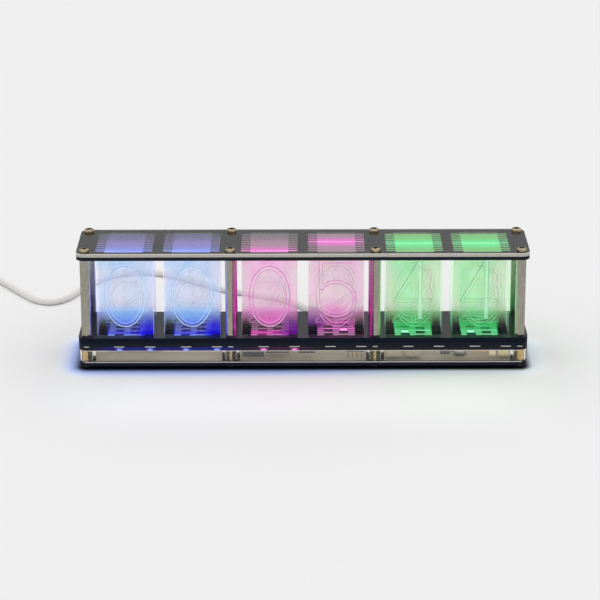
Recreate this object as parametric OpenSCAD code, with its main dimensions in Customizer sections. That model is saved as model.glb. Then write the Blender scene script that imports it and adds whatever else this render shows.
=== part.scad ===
/* [Digit plates] */
// Width of one engraved digit plate
digit_plate_w = 31; // [26:0.5:38]
// Thickness of one digit plate
digit_plate_t = 2; // [1.5:0.1:2.4]
// Distance from one plate of a stack to the next
plate_pitch = 3.3; // [3:0.1:4.2]
// Gap between the two stacks of a pair
pair_gap = 6; // [3:0.5:12]
// Gap between two pairs, where a post stands
bay_gap = 12; // [10:0.5:20]
// Height of an engraved digit
digit_h = 35; // [24:0.5:38]
// Height of a digit's foot over the deck
digit_lift = 4.6; // [2:0.1:6]
// Distance of the flat tops of 5 and 7 below the round tops
flat_drop = 1.6; // [0:0.1:3]
// Width of an engraved digit
digit_w = 22.5; // [16:0.5:25]
// Width of an engraved stroke
stroke_w = 1.9; // [1:0.1:3]
// Depth of an engraved stroke
groove_depth = 0.5; // [0.2:0.1:1]

/* [Sheets] */
// Deck in front of and behind a digit stack
stack_margin = 6.65; // [5.5:0.05:10]
// Distance from a screw to the edges of the sheets
edge_inset = 4.5; // [4:0.1:6]
// Radius of the sheets' corners
corner_r = 4.5; // [2:0.5:8]
// Thickness of the clear cover
cover_t = 2; // [1.5:0.1:4]
// Thickness of the black frame under the cover
frame_t = 2; // [1.5:0.1:4]
// Thickness of the black deck that holds the plates
deck_t = 3; // [2:0.1:5]
// Thickness of the black mask around the lights
mask_t = 2.2; // [2:0.1:4]
// Thickness of the circuit board
board_t = 2; // [1.2:0.1:3]
// Thickness of one clear base frame
base_frame_t = 2.4; // [2.2:0.1:4]
// Thickness of the black bottom plate
bottom_t = 2; // [1.5:0.1:4]
// Width of the clear frames' walls
base_wall = 4; // [3:0.1:4.2]
// Radius of the clear frames' screw bosses
boss_r = 5; // [4.4:0.1:5.5]
// How far a plate's edges reach into the combs of the deck
slot_reach = 5; // [3:0.5:6]
// Space between the end plates and the ends of the light window
window_end_gap = 2.45; // [1:0.05:3]

/* [Hardware] */
// Height of a hexagonal post
post_h = 45; // [42:0.5:70]
// Size of the posts and standoffs across their flats
post_af = 5; // [4.5:0.1:5.4]
// Diameter of a screw's shank
screw_d = 2.9; // [2.4:0.1:3]
// Length of a top screw under its head
top_screw_l = 8; // [7:0.5:10]
// Length of a bottom screw under its head
bottom_screw_l = 4.5; // [4:0.1:5]
// How far a post's stud reaches into its standoff
stud_grip = 3; // [2:0.1:3.4]
// Diameter of a screw's head
head_d = 5.6; // [4.5:0.1:6.5]
// Height of a screw's head
head_h = 2; // [1.5:0.1:2.6]

/* [Lights] */
// Side of a light package
led_side = 5; // [3.5:0.1:5.5]
// Height of a light package
led_h = 1.6; // [1:0.1:1.8]
// Gap between the two columns of lights
led_column_gap = 3.6; // [2:0.1:6]
// Width of a solder pad on the board's front edge
pad_w = 5.6; // [3:0.1:7]

/* [Rear] */
// Diameter of a setting button
button_d = 3.2; // [2.4:0.1:3.6]
// How far a button stands out at the rear
button_reach = 1.6; // [1:0.1:3]
// How far a button travels
button_travel = 0.3; // [0.2:0.05:0.5]
// Distance between the buttons
button_pitch = 8; // [7:0.5:9]
// Place of the power socket along the rear
socket_x = 10; // [4:0.5:16]

/* [Cord] */
// Diameter of the cord
cord_d = 3.6; // [3:0.1:4]
// Loops in the coil, half of them on each layer
coil_loops = 5.5; // [3.5:1:9.5]
// Mean diameter of the coil's turns, in cord diameters
coil_across = 10.5; // [10:0.1:12]
// Space between neighbouring turns
turn_gap = 0.6; // [0.5:0.05:1]

/* [Hidden] */
$fn = 48;
plates_in_stack = 10;
slide_gap = 0.1;
seat_gap = 0.2;
plate_side_gap = 0.15;
screw_hole_d = screw_d + 0.5;
thread_d = screw_d + 0.1;
pass = 1;

// Plan of the sheets
pair_pitch = digit_plate_w + pair_gap;
bay_pitch = pair_pitch + digit_plate_w + bay_gap;
stack_span = (plates_in_stack - 1) * plate_pitch;
stack_d = stack_span + digit_plate_t;
sheet_w = 3 * bay_pitch + 2 * edge_inset;
sheet_d = stack_d + 2 * stack_margin;
stack_columns = [for (bay = [-1:1], side = [-1, 1]) bay * bay_pitch + side * pair_pitch / 2];
screw_columns = [for (column = [-1.5:1.5]) column * bay_pitch];
// How far each column of posts turned when it was screwed home
post_turns = [-5, 20, -20, 4];
screw_row = sheet_d / 2 - edge_inset;
window_w = digit_plate_w - 2 * slot_reach;
window_d = stack_d + 2 * window_end_gap;
cavity_w = sheet_w - 2 * base_wall;
cavity_d = sheet_d - 2 * base_wall;
post_corner_d = post_af / cos(30);
standoff_hole_d = post_corner_d + 2 * seat_gap;

// Levels from the table up
bottom_z = head_h;
base_z = bottom_z + bottom_t;
base_h = 3 * base_frame_t;
board_z = base_z + base_h;
mask_z = board_z + board_t;
deck_z = mask_z + mask_t;
post_z = deck_z + deck_t;
frame_z = post_z + post_h;
cover_z = frame_z + frame_t;
top_z = cover_z + cover_t;
plate_z = deck_z;
plate_h = cover_z - seat_gap - plate_z;
digit_mid_z = post_z + digit_lift + digit_h / 2;

// Lights under the plates
led_column = (led_side + led_column_gap) / 2;
led_rim = 0.5;
led_lens_d = led_side - 2 * led_rim;
led_lens_depth = 0.4;
pad_t = 0.3;
pad_depth = 2.4;
pad_offsets = [-3.3, 13.8];
post_pad_w = 2.8;
// Places and widths of the pads, two to each stack and one at each front post
pads = concat(
    [for (x = stack_columns, offset = pad_offsets) [x + offset, pad_w]],
    [for (x = screw_columns) [x, post_pad_w]]
);

// Digit outlines, about the middle of a digit
half_w = (digit_w - stroke_w) / 2;
half_h = (digit_h - stroke_w) / 2;
flat_top = half_h - flat_drop;
upper_share = 0.46;
bowl_share = 0.59;
narrow_share = 0.84;
upper_r = upper_share * half_h;
lower_r = half_h - upper_r;
bowl_r = bowl_share * half_h;
bowl_y = bowl_r - half_h;
arc_steps = 18;
loop_steps = 40;

// Parts under the board
part_setback = 1.4;
front_row_y = -cavity_d / 2 + part_setback;
left_post = screw_columns[0];
inner_left_post = screw_columns[1];
inner_right_post = screw_columns[2];
right_post = screw_columns[3];
strip_size = [30, 2.5, 2.4];
capacitor_d = 6;
capacitor_l = 12;
holder_size = [13, 11, 3];
cell_d = 9.5;
cell_t = 2;
chip_size = [9.2, 6.2, 3.4];
regulator_size = [6.5, 3.5, 1.8];
controller_size = [10, 10, 1.4];
header_pins_count = 4;
header_pitch = 2.54;
header_depth = 2.5;
header_h = 2.5;
pin_side = 0.64;
pin_reach = 3.6;
connector_size = [8.6, 5.6, 5.6];
connector_step = 10.4;
inductor_size = [5.4, 5.4, 4];
crystal_size = [8.4, 4, 5.4];
tantalum_size = [7.3, 4.3, 2.9];
film_size = [3.8, 5, 5.4];
trimmer_size = [6.6, 6, 5.4];
trimmer_screw_d = 3.4;
part_gap = 1.2;
strip_inset = 12;
chip_gap = 5;
header_gap = 0.5;
crystal_gap = 3.6;
button_inset = 16;
cell_floor = 0.8;
strip_x = left_post + strip_inset + strip_size.x / 2;
capacitor_x = inner_left_post + boss_r + part_gap + capacitor_l / 2;
holder_x = capacitor_x + capacitor_l / 2 + part_gap + holder_size.x / 2;
holder_mid_y = front_row_y + holder_size.y / 2;
chip_x = holder_x + holder_size.x / 2 + chip_gap + chip_size.x / 2;
header_l = header_pins_count * header_pitch;
header_x = inner_right_post - boss_r - part_gap - header_l / 2;
regulator_x = header_x - header_l / 2 - header_gap - regulator_size.x / 2;
connector_x = inner_right_post + boss_r + part_gap + connector_size.x / 2;
trimmer_x = right_post - boss_r - trimmer_size.x / 2;
film_x = trimmer_x - trimmer_size.x / 2 - part_gap - film_size.x / 2;
tantalum_x = film_x - film_size.x / 2 - part_gap - tantalum_size.x / 2;
crystal_x = tantalum_x - tantalum_size.x / 2 - crystal_gap - crystal_size.x / 2;
inductor_x = crystal_x - crystal_size.x / 2 - part_gap - inductor_size.x / 2;

// Rear socket, switches and buttons
socket_size = [7.6, 6, 2.8];
socket_wall = 0.25;
socket_z = board_z - socket_size.z / 2;
switch_size = [6, 4.4, 4.6];
switch_gap = 0.5;
switch_y = cavity_d / 2 - switch_gap - switch_size.y;
button_z = board_z - base_frame_t;
button_grip = 1;
button_bevel = 0.5;
button_columns = [for (i = [0:2]) inner_right_post + button_inset + i * button_pitch];
rear_notch_gap = 0.6;

// Plug at the clock
tip_size = [6.7, 5.6, 1.9];
plug_size = [10.4, 14, 7];
plug_stand_off = 0.7;
plug_corner_r = 2;
relief_d = 6.4;
relief_end_d = 4.4;
relief_l = 6.8;
plug_y = sheet_d / 2 + plug_stand_off;
cord_exit_y = plug_y + plug_size.y + relief_l;

// Route of the cord, chosen by hand, from the plug to the coil
cord_r = cord_d / 2;
cord_exit = [socket_x, cord_exit_y, socket_z];
route = [
    [10, 51, 9], [9, 59, 6.4], [6, 67, 3.6], [2, 75, 2.2], [-4, 84, 1.9],
    [-15, 94, 1.9], [-30, 102, 1.9], [-48, 111, 1.9], [-68, 128, 1.9], [-88, 142, 1.9],
    [-106, 144, 1.9], [-122, 133, 1.9], [-134, 112, 1.9], [-141, 96, 1.9], [-150, 88, 1.9],
    [-160, 92, 1.9], [-171, 107, 1.9], [-186, 130, 1.9], [-193, 140, 2.4]
];

// Coil beside the route's end
tie_t = 0.8;
tie_w = 5;
tie_gap = 0.3;
tie_side_gap = 0.5;
coil_mid = [-222, 138];
coil_start_a = 34;
turn_pitch = cord_d + turn_gap;
coil_mean_r = coil_across * cord_d / 2;
coil_out_r = coil_mean_r + coil_loops * turn_pitch / 4;
coil_z = tie_t + tie_gap + cord_r;
rings_per_loop = 24;
tail_l = 30;
far_axis_z = 4.2;
far_relief_l = 9;
far_body_size = [15.6, 20, 8];
far_shell_size = [12, 18.7, 4.5];
far_shell_wall = 0.4;
far_tongue_t = 1.8;

// Sheets

module outline() {
    square([sheet_w - 2 * corner_r, sheet_d], center = true);
    square([sheet_w, sheet_d - 2 * corner_r], center = true);
    for (x = [-1, 1], y = [-1, 1])
        translate([x * (sheet_w / 2 - corner_r), y * (sheet_d / 2 - corner_r)])
            circle(corner_r);
}

module at_screws() {
    for (x = screw_columns, y = [-screw_row, screw_row])
        translate([x, y]) children();
}

module at_stacks() {
    for (x = stack_columns)
        translate([x, 0]) children();
}

function plate_y(index) = index * plate_pitch - stack_span / 2;

// Light window with a slot at both sides for each plate
module comb() {
    square([window_w, window_d], center = true);
    for (index = [0:plates_in_stack - 1])
        translate([0, plate_y(index)])
            square([digit_plate_w + 2 * plate_side_gap, digit_plate_t + 2 * slide_gap], center = true);
}

module sheet(level, thickness) {
    translate([0, 0, level])
        linear_extrude(thickness)
            difference() {
                outline();
                at_screws() circle(d = screw_hole_d);
                children();
            }
}

module top_cover() {
    color([0.85, 0.84, 0.78, 0.4]) sheet(cover_z, cover_t);
}

module top_frame() {
    color([0.06, 0.06, 0.07]) sheet(frame_z, frame_t) at_stacks() comb();
}

module deck_plate() {
    color([0.06, 0.06, 0.07]) sheet(deck_z, deck_t) at_stacks() comb();
}

// Reliefs in the mask's underside clear the pads on the board's edge
module light_mask() {
    color([0.05, 0.05, 0.06])
        difference() {
            sheet(mask_z, mask_t) at_stacks() square([window_w, window_d], center = true);
            for (pad = pads)
                translate([pad[0] - pad[1] / 2 - seat_gap, -sheet_d / 2 - pass, mask_z - pass])
                    cube([pad[1] + 2 * seat_gap, pad_depth + seat_gap + pass, pad_t + seat_gap + pass]);
        }
}

module led_board() {
    color([0.08, 0.09, 0.1]) sheet(board_z, board_t);
}

module bottom_plate() {
    color([0.05, 0.05, 0.06]) sheet(bottom_z, bottom_t);
}

module edge_pads() {
    color([0.8, 0.8, 0.78])
        for (pad = pads)
            translate([pad[0] - pad[1] / 2, -sheet_d / 2, mask_z]) cube([pad[1], pad_depth, pad_t]);
}

// Clear ring with bosses round the standoffs
module base_ring(level) {
    translate([0, 0, level])
        linear_extrude(base_frame_t)
            difference() {
                outline();
                difference() {
                    square([cavity_w, cavity_d], center = true);
                    at_screws() circle(boss_r);
                }
                at_screws() circle(d = standoff_hole_d);
            }
}

// Gaps in the rear wall, one for the socket and one for the row of buttons
module rear_notches() {
    notch_y = cavity_d / 2 - pass;
    notch_depth = base_wall + 2 * pass;
    notch_z = base_z + base_frame_t - pass;
    notch_h = 2 * base_frame_t + 2 * pass;
    socket_notch_w = socket_size.x + 2 * rear_notch_gap;
    button_notch_w = 2 * button_pitch + button_d + 2 * rear_notch_gap;
    translate([socket_x - socket_notch_w / 2, notch_y, notch_z])
        cube([socket_notch_w, notch_depth, notch_h]);
    translate([button_columns[1] - button_notch_w / 2, notch_y, notch_z])
        cube([button_notch_w, notch_depth, notch_h]);
}

module base_frame_lower() {
    color([0.85, 0.83, 0.74, 0.5]) base_ring(base_z);
}

module base_frame_middle() {
    color([0.85, 0.83, 0.74, 0.5])
        difference() {
            base_ring(base_z + base_frame_t);
            rear_notches();
        }
}

module base_frame_upper() {
    color([0.85, 0.83, 0.74, 0.5])
        difference() {
            base_ring(base_z + 2 * base_frame_t);
            rear_notches();
        }
}

// Engraved digits

function arc(mid, radii, from, to, steps) =
    [for (i = [0:steps]) let (a = from + (to - from) * i / steps) mid + [radii.x * cos(a), radii.y * sin(a)]];

function heading(points, i) =
    let (step = points[min(i + 1, len(points) - 1)] - points[max(i - 1, 0)]) step / norm(step);

function edge(points, offset) =
    [for (i = [0:len(points) - 1]) let (along = heading(points, i)) points[i] + offset * [-along.y, along.x]];

function backwards(points) = [for (i = [len(points) - 1:-1:0]) points[i]];

module stroke(points) {
    polygon(concat(edge(points, stroke_w / 2), backwards(edge(points, -stroke_w / 2))));
}

function ellipse(mid, radii) =
    [for (i = [0:loop_steps - 1]) let (a = 360 * i / loop_steps) mid + [radii.x * cos(a), radii.y * sin(a)]];

module loop(mid, radii) {
    half = [stroke_w / 2, stroke_w / 2];
    difference() {
        polygon(ellipse(mid, radii + half));
        polygon(ellipse(mid, radii - half));
    }
}

module digit_zero() {
    loop([0, 0], [half_w, half_h]);
}

module digit_one() {
    stroke([[0, -half_h], [0, half_h]]);
}

module digit_two() {
    bow = arc([0, half_h - half_w], [half_w, half_w], 168, -48, arc_steps);
    stroke(concat(bow, [[-half_w, -half_h]]));
    stroke([[-half_w - stroke_w / 2, -half_h], [half_w, -half_h]]);
}

module digit_three() {
    stroke(arc([0, half_h - upper_r], [narrow_share * half_w, upper_r], 158, -104, arc_steps));
    stroke(arc([0, lower_r - half_h], [half_w, lower_r], 90, -158, arc_steps));
}

module digit_four() {
    stem_x = 0.38 * half_w;
    bar_y = -0.43 * half_h;
    stroke([[stem_x, -half_h - stroke_w / 2], [stem_x, half_h + stroke_w / 2]]);
    stroke([[-half_w, bar_y], [half_w, bar_y]]);
    stroke([[stem_x, half_h], [stroke_w / 3 - half_w, bar_y]]);
}

module digit_five() {
    bowl_start = 145;
    bowl_mid = [0, bowl_y];
    stem = bowl_mid + [half_w * cos(bowl_start), bowl_r * sin(bowl_start)];
    stroke(arc(bowl_mid, [half_w, bowl_r], bowl_start, -152, arc_steps));
    stroke([[stem.x, stem.y - stroke_w / 3], [stem.x, flat_top]]);
    stroke([[stem.x - stroke_w / 2, flat_top], [narrow_share * half_w, flat_top]]);
}

module digit_six() {
    lean = 0.35 * half_w;
    loop([0, bowl_y], [half_w, bowl_r]);
    stroke(arc([lean, bowl_y], [half_w + lean, half_h - bowl_y], 184, 92, arc_steps));
}

module digit_seven() {
    foot_x = -0.35 * half_w;
    stroke([[-half_w, flat_top], [half_w, flat_top]]);
    stroke([[half_w - stroke_w / 3, flat_top], [foot_x, -half_h]]);
}

module digit_eight() {
    loop([0, half_h - upper_r], [narrow_share * half_w, upper_r]);
    loop([0, lower_r - half_h], [half_w, lower_r]);
}

module digit_nine() {
    rotate(180) digit_six();
}

module digit(value) {
    if (value == 0) digit_zero();
    if (value == 1) digit_one();
    if (value == 2) digit_two();
    if (value == 3) digit_three();
    if (value == 4) digit_four();
    if (value == 5) digit_five();
    if (value == 6) digit_six();
    if (value == 7) digit_seven();
    if (value == 8) digit_eight();
    if (value == 9) digit_nine();
}

// One clear plate with its digit sunk into the front face
module digit_plate(value) {
    front_y = plate_y(value) - digit_plate_t / 2;
    difference() {
        translate([-digit_plate_w / 2, front_y, plate_z])
            cube([digit_plate_w, digit_plate_t, plate_h]);
        translate([0, front_y + groove_depth, digit_mid_z])
            rotate([90, 0, 0])
                linear_extrude(groove_depth + pass)
                    digit(value);
    }
}

module digit_stack(place) {
    translate([stack_columns[place], 0, 0])
        for (value = [0:plates_in_stack - 1])
            digit_plate(value);
}

module hours_tens_plates() {
    color([0.35, 0.4, 1, 0.4]) digit_stack(0);
}

module hours_units_plates() {
    color([0.35, 0.4, 1, 0.4]) digit_stack(1);
}

module minutes_tens_plates() {
    color([1, 0.4, 0.85, 0.4]) digit_stack(2);
}

module minutes_units_plates() {
    color([1, 0.4, 0.85, 0.4]) digit_stack(3);
}

module seconds_tens_plates() {
    color([0.3, 1, 0.45, 0.4]) digit_stack(4);
}

module seconds_units_plates() {
    color([0.3, 1, 0.45, 0.4]) digit_stack(5);
}

// One light under each plate, in two staggered columns
module led_package() {
    difference() {
        translate([-led_side / 2, -led_side / 2, 0])
            cube([led_side, led_side, led_h]);
        translate([0, 0, led_h - led_lens_depth])
            cylinder(d = led_lens_d, h = led_lens_depth + pass);
    }
}

module led_packages() {
    color([0.2, 0.2, 0.22])
        at_stacks()
            for (index = [0:plates_in_stack - 1])
                translate([(index % 2 == 0 ? -1 : 1) * led_column, plate_y(index), mask_z])
                    led_package();
}

// Posts, standoffs and screws

module hexagon(height) {
    rotate(30) cylinder(d = post_corner_d, h = height, $fn = 6);
}

module hex_post() {
    bore_depth = top_screw_l - cover_t - frame_t + pass;
    stud_l = deck_t + mask_t + board_t + stud_grip;
    difference() {
        hexagon(post_h);
        translate([0, 0, post_h - bore_depth]) cylinder(d = thread_d, h = bore_depth + pass);
    }
    translate([0, 0, -stud_l]) cylinder(d = screw_d, h = stud_l);
}

module hex_posts() {
    color([0.72, 0.71, 0.68])
        for (column = [0:3], y = [-screw_row, screw_row])
            translate([screw_columns[column], y, post_z]) rotate(post_turns[column]) hex_post();
}

module brass_standoffs() {
    color([0.75, 0.58, 0.25])
        at_screws()
            translate([0, 0, base_z])
                difference() {
                    hexagon(base_h);
                    translate([0, 0, -pass]) cylinder(d = thread_d, h = base_h + 2 * pass);
                }
}

// Pan head with a cross recess, its shank pointing down
module screw(shank_l) {
    recess_l = 0.58 * head_d;
    recess_w = 0.16 * head_d;
    recess_depth = 0.6 * head_h;
    difference() {
        rotate_extrude()
            polygon([
                [0, 0], [head_d / 2, 0], [head_d / 2, 0.5 * head_h],
                [0.92 * head_d / 2, 0.8 * head_h], [0.7 * head_d / 2, head_h], [0, head_h]
            ]);
        for (turn = [0, 90])
            rotate(turn)
                translate([-recess_l / 2, -recess_w / 2, head_h - recess_depth])
                    cube([recess_l, recess_w, recess_depth + pass]);
    }
    translate([0, 0, -shank_l]) cylinder(d = screw_d, h = shank_l);
}

module top_screws() {
    color([0.55, 0.5, 0.44]) at_screws() translate([0, 0, top_z]) screw(top_screw_l);
}

module bottom_screws() {
    color([0.55, 0.5, 0.44]) at_screws() translate([0, 0, bottom_z]) mirror([0, 0, 1]) screw(bottom_screw_l);
}

// Parts that hang under the board, with their front faces in one row

module under_board(x, size) {
    translate([x - size.x / 2, front_row_y, board_z - size.z]) cube(size);
}

module pin_strip() {
    contact_pitch = 2;
    contact_side = 0.8;
    contact_depth = 0.6;
    contacts = floor(strip_size.x / contact_pitch) - 1;
    color([0.1, 0.1, 0.11])
        difference() {
            under_board(strip_x, strip_size);
            for (i = [0:contacts - 1])
                translate([
                    strip_x + (i - (contacts - 1) / 2) * contact_pitch - contact_side / 2,
                    front_row_y - pass,
                    board_z - strip_size.z / 2 - contact_side / 2
                ])
                    cube([contact_side, contact_depth + pass, contact_side]);
        }
}

// Can lying on its side against the board, with a rolled groove near one end
module power_capacitor() {
    groove_at = 2;
    groove_w = 0.8;
    groove_r = 0.4;
    r = capacitor_d / 2;
    color([0.1, 0.1, 0.12])
        translate([capacitor_x - capacitor_l / 2, front_row_y + r, board_z - r])
            rotate([0, 90, 0])
                rotate_extrude()
                    polygon([
                        [0, 0], [r - groove_r, 0], [r, groove_r],
                        [r, groove_at], [r - groove_r, groove_at + groove_w / 2], [r, groove_at + groove_w],
                        [r, capacitor_l], [0, capacitor_l]
                    ]);
}

// Shallow tray that is open at the bottom for its cell
module cell_holder() {
    color([0.14, 0.14, 0.15])
        difference() {
            under_board(holder_x, holder_size);
            translate([holder_x, holder_mid_y, board_z - holder_size.z - pass])
                cylinder(d = cell_d + 2 * seat_gap, h = holder_size.z - cell_floor + pass);
        }
}

module backup_cell() {
    color([0.8, 0.8, 0.8])
        translate([holder_x, holder_mid_y, board_z - cell_floor - cell_t])
            cylinder(d = cell_d, h = cell_t);
}

// Black body with a row of bent legs down each side
module clock_chip() {
    legs = 4;
    leg_pitch = 2.2;
    leg_w = 0.6;
    leg_reach = 0.9;
    stand = 0.5;
    color([0.07, 0.07, 0.08]) {
        translate([chip_x - chip_size.x / 2, front_row_y + leg_reach, board_z - chip_size.z])
            cube([chip_size.x, chip_size.y, chip_size.z - stand]);
        for (i = [0:legs - 1], side = [0, 1])
            translate([
                chip_x + (i - (legs - 1) / 2) * leg_pitch - leg_w / 2,
                front_row_y + side * (chip_size.y + leg_reach),
                board_z - chip_size.z / 2 - stand
            ])
                cube([leg_w, leg_reach, chip_size.z / 2 + stand]);
    }
}

module voltage_regulator() {
    tab_l = 1.6;
    tab_t = 0.5;
    color([0.6, 0.6, 0.6]) {
        under_board(regulator_x, regulator_size);
        translate([regulator_x - regulator_size.x / 4, front_row_y + regulator_size.y, board_z - tab_t])
            cube([regulator_size.x / 2, tab_l, tab_t]);
    }
}

// Flat square chip with a round dimple in one corner
module controller_chip() {
    dimple_d = 1;
    dimple_depth = 0.2;
    corner = [chip_x - chip_gap - controller_size.x, screw_row - boss_r - controller_size.y];
    dimple = corner + [1.5 * dimple_d, 1.5 * dimple_d];
    low_z = board_z - controller_size.z;
    color([0.07, 0.07, 0.08])
        difference() {
            translate([corner.x, corner.y, low_z]) cube(controller_size);
            translate([dimple.x, dimple.y, low_z - pass]) cylinder(d = dimple_d, h = dimple_depth + pass);
        }
}

module at_header_pins() {
    for (i = [0:header_pins_count - 1])
        translate([
            header_x + (i - (header_pins_count - 1) / 2) * header_pitch,
            front_row_y + header_depth / 2,
            board_z
        ])
            children();
}

module pin_header() {
    hole_side = pin_side + 2 * slide_gap;
    color([0.08, 0.08, 0.09])
        difference() {
            under_board(header_x, [header_l, header_depth, header_h]);
            at_header_pins()
                translate([-hole_side / 2, -hole_side / 2, -header_h - pass])
                    cube([hole_side, hole_side, header_h + 2 * pass]);
        }
}

module header_pins() {
    color([0.8, 0.65, 0.3])
        at_header_pins()
            translate([-pin_side / 2, -pin_side / 2, -header_h - pin_reach])
                cube([pin_side, pin_side, header_h + pin_reach]);
}

// Two open-topped white housings
module wire_connectors() {
    wall = 0.8;
    mouth = [connector_size.x - 2 * wall, connector_size.y - 2 * wall, connector_size.z - wall];
    color([0.86, 0.84, 0.76])
        for (i = [0, 1])
            difference() {
                under_board(connector_x + i * connector_step, connector_size);
                translate([
                    connector_x + i * connector_step - mouth.x / 2,
                    front_row_y + wall,
                    board_z - connector_size.z - pass
                ])
                    cube([mouth.x, mouth.y, mouth.z + pass]);
            }
}

// Dark block with a round core
module inductor() {
    core_d = 3.6;
    core_depth = 0.5;
    color([0.16, 0.15, 0.17])
        difference() {
            under_board(inductor_x, inductor_size);
            translate([inductor_x, front_row_y + inductor_size.y / 2, board_z - inductor_size.z - pass])
                cylinder(d = core_d, h = core_depth + pass);
        }
}

// Can with round ends on a thin flange
module crystal() {
    flange_t = 0.5;
    flange_lip = 0.4;
    r = crystal_size.y / 2;
    color([0.8, 0.79, 0.72]) {
        translate([crystal_x, front_row_y + r + flange_lip, board_z - crystal_size.z])
            linear_extrude(crystal_size.z - flange_t) {
                square([crystal_size.x - 2 * r, 2 * r], center = true);
                for (side = [-1, 1])
                    translate([side * (crystal_size.x / 2 - r), 0]) circle(r);
            }
        translate([crystal_x - crystal_size.x / 2 - flange_lip, front_row_y, board_z - flange_t])
            cube([crystal_size.x + 2 * flange_lip, crystal_size.y + 2 * flange_lip, flange_t]);
    }
}

module tantalum_capacitor() {
    color([0.62, 0.43, 0.18]) under_board(tantalum_x, tantalum_size);
}

module film_capacitor() {
    color([0.88, 0.84, 0.7]) under_board(film_x, film_size);
}

// Ribbed block with a slotted screw underneath
module trimmer() {
    ribs = 4;
    rib_w = 0.5;
    rib_depth = 0.4;
    slot_w = 0.6;
    slot_depth = 0.6;
    color([0.8, 0.78, 0.68])
        difference() {
            under_board(trimmer_x, trimmer_size);
            for (i = [0:ribs - 1])
                translate([
                    trimmer_x + (i - (ribs - 1) / 2) * trimmer_size.x / ribs - rib_w / 2,
                    front_row_y - pass,
                    board_z - trimmer_size.z - pass
                ])
                    cube([rib_w, rib_depth + pass, trimmer_size.z]);
            translate([
                trimmer_x - trimmer_screw_d / 2,
                front_row_y + trimmer_size.y / 2 - slot_w / 2,
                board_z - trimmer_size.z - pass
            ])
                cube([trimmer_screw_d, slot_w, slot_depth + pass]);
        }
}

// Rear socket, switches and setting buttons

module power_socket() {
    inner = [socket_size.x - 2 * socket_wall, socket_size.y - socket_wall, socket_size.z - 2 * socket_wall];
    color([0.75, 0.75, 0.74])
        translate([socket_x, sheet_d / 2, socket_z])
            difference() {
                translate([-socket_size.x / 2, -socket_size.y, -socket_size.z / 2])
                    cube(socket_size);
                translate([-inner.x / 2, -inner.y, -inner.z / 2])
                    cube([inner.x, inner.y + pass, inner.z]);
            }
}

module switch_bodies() {
    bore_depth = button_grip + 2 * button_travel;
    color([0.1, 0.1, 0.11])
        for (x = button_columns)
            difference() {
                translate([x - switch_size.x / 2, switch_y, board_z - switch_size.z])
                    cube(switch_size);
                translate([x, switch_y + switch_size.y - bore_depth, button_z])
                    rotate([-90, 0, 0])
                        cylinder(d = button_d + 2 * slide_gap, h = bore_depth + pass);
            }
}

// Round stem with a bevelled end, pressed towards the front
module button(index) {
    start_y = switch_y + switch_size.y - button_grip;
    end_y = sheet_d / 2 + button_reach;
    translate([button_columns[index], start_y, button_z])
        rotate([-90, 0, 0]) {
            cylinder(d = button_d, h = end_y - start_y - button_bevel);
            translate([0, 0, end_y - start_y - button_bevel])
                cylinder(d1 = button_d, d2 = button_d - 2 * button_bevel, h = button_bevel);
        }
}

module mode_button() {
    color([0.12, 0.12, 0.13]) button(0);
}

module up_button() {
    color([0.12, 0.12, 0.13]) button(1);
}

module down_button() {
    color([0.12, 0.12, 0.13]) button(2);
}

// Plugs

module rounded_bar(size, r) {
    rotate([-90, 0, 0])
        linear_extrude(size.y) {
            square([size.x - 2 * r, size.z], center = true);
            square([size.x, size.z - 2 * r], center = true);
            for (x = [-1, 1], z = [-1, 1])
                translate([x * (size.x / 2 - r), z * (size.z / 2 - r)]) circle(r);
        }
}

module plug_tip() {
    color([0.8, 0.8, 0.8])
        translate([socket_x - tip_size.x / 2, plug_y - tip_size.y, socket_z - tip_size.z / 2])
            cube(tip_size);
}

module plug_body() {
    color([0.95, 0.95, 0.95])
        translate([socket_x, plug_y, socket_z]) rounded_bar(plug_size, plug_corner_r);
}

module strain_relief() {
    color([0.95, 0.95, 0.95])
        translate([socket_x, plug_y + plug_size.y, socket_z])
            rotate([-90, 0, 0])
                cylinder(d1 = relief_d, d2 = relief_end_d, h = relief_l);
}

// Cord

coil_turn = 360 * coil_loops;

function along(a) = [-sin(a), cos(a), 0];

// Radius and height along the coil, which winds in on the lower layer and out on the upper one
function coil_r(turned) = coil_out_r - turn_pitch * min(turned, coil_loops - turned);

function climb(turned) =
    let (part = min(1, max(0, (turned - coil_loops / 2) * 2 + 0.5))) part * part * (3 - 2 * part);

function coil_point(turned) =
    let (a = coil_start_a + 360 * turned, flat = coil_mid + coil_r(turned) * [cos(a), sin(a)])
        [flat.x, flat.y, coil_z + turn_pitch * climb(turned)];

coil_steps = round(coil_loops * rings_per_loop);
coil_turns = [for (i = [0:coil_steps]) coil_point(i / rings_per_loop)];
coil_way = along(coil_start_a);
tail_way = along(coil_start_a + coil_turn);
coil_in = coil_turns[0] - cord_d * coil_way;
coil_out = coil_turns[coil_steps] + cord_d * tail_way;
coil_path = concat([coil_in], coil_turns, [coil_out]);

function spline_at(p, q, r, s, t) =
    0.5 * (2 * q + (r - p) * t + (2 * p - 5 * q + 4 * r - s) * t * t + (3 * q - p - 3 * r + s) * t * t * t);

function smooth(points, steps) =
    let (last = len(points) - 2)
        concat(
            [for (i = [1:last - 1], j = [0:steps - 1])
                spline_at(points[i - 1], points[i], points[i + 1], points[i + 2], j / steps)],
            [points[last]]
        );

run_path = smooth(
    concat([cord_exit - [0, cord_d, 0], cord_exit], route, [coil_in, coil_turns[0]]), 2
);
tail_end = coil_out + tail_l * tail_way - [0, 0, coil_out.z - far_axis_z];
tail_lead = cord_d * tail_way;
tail_mid = (coil_out + tail_end) / 2;
tail_path = smooth([coil_out - tail_lead, coil_out, tail_mid, tail_end, tail_end + tail_lead], 3);

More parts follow.
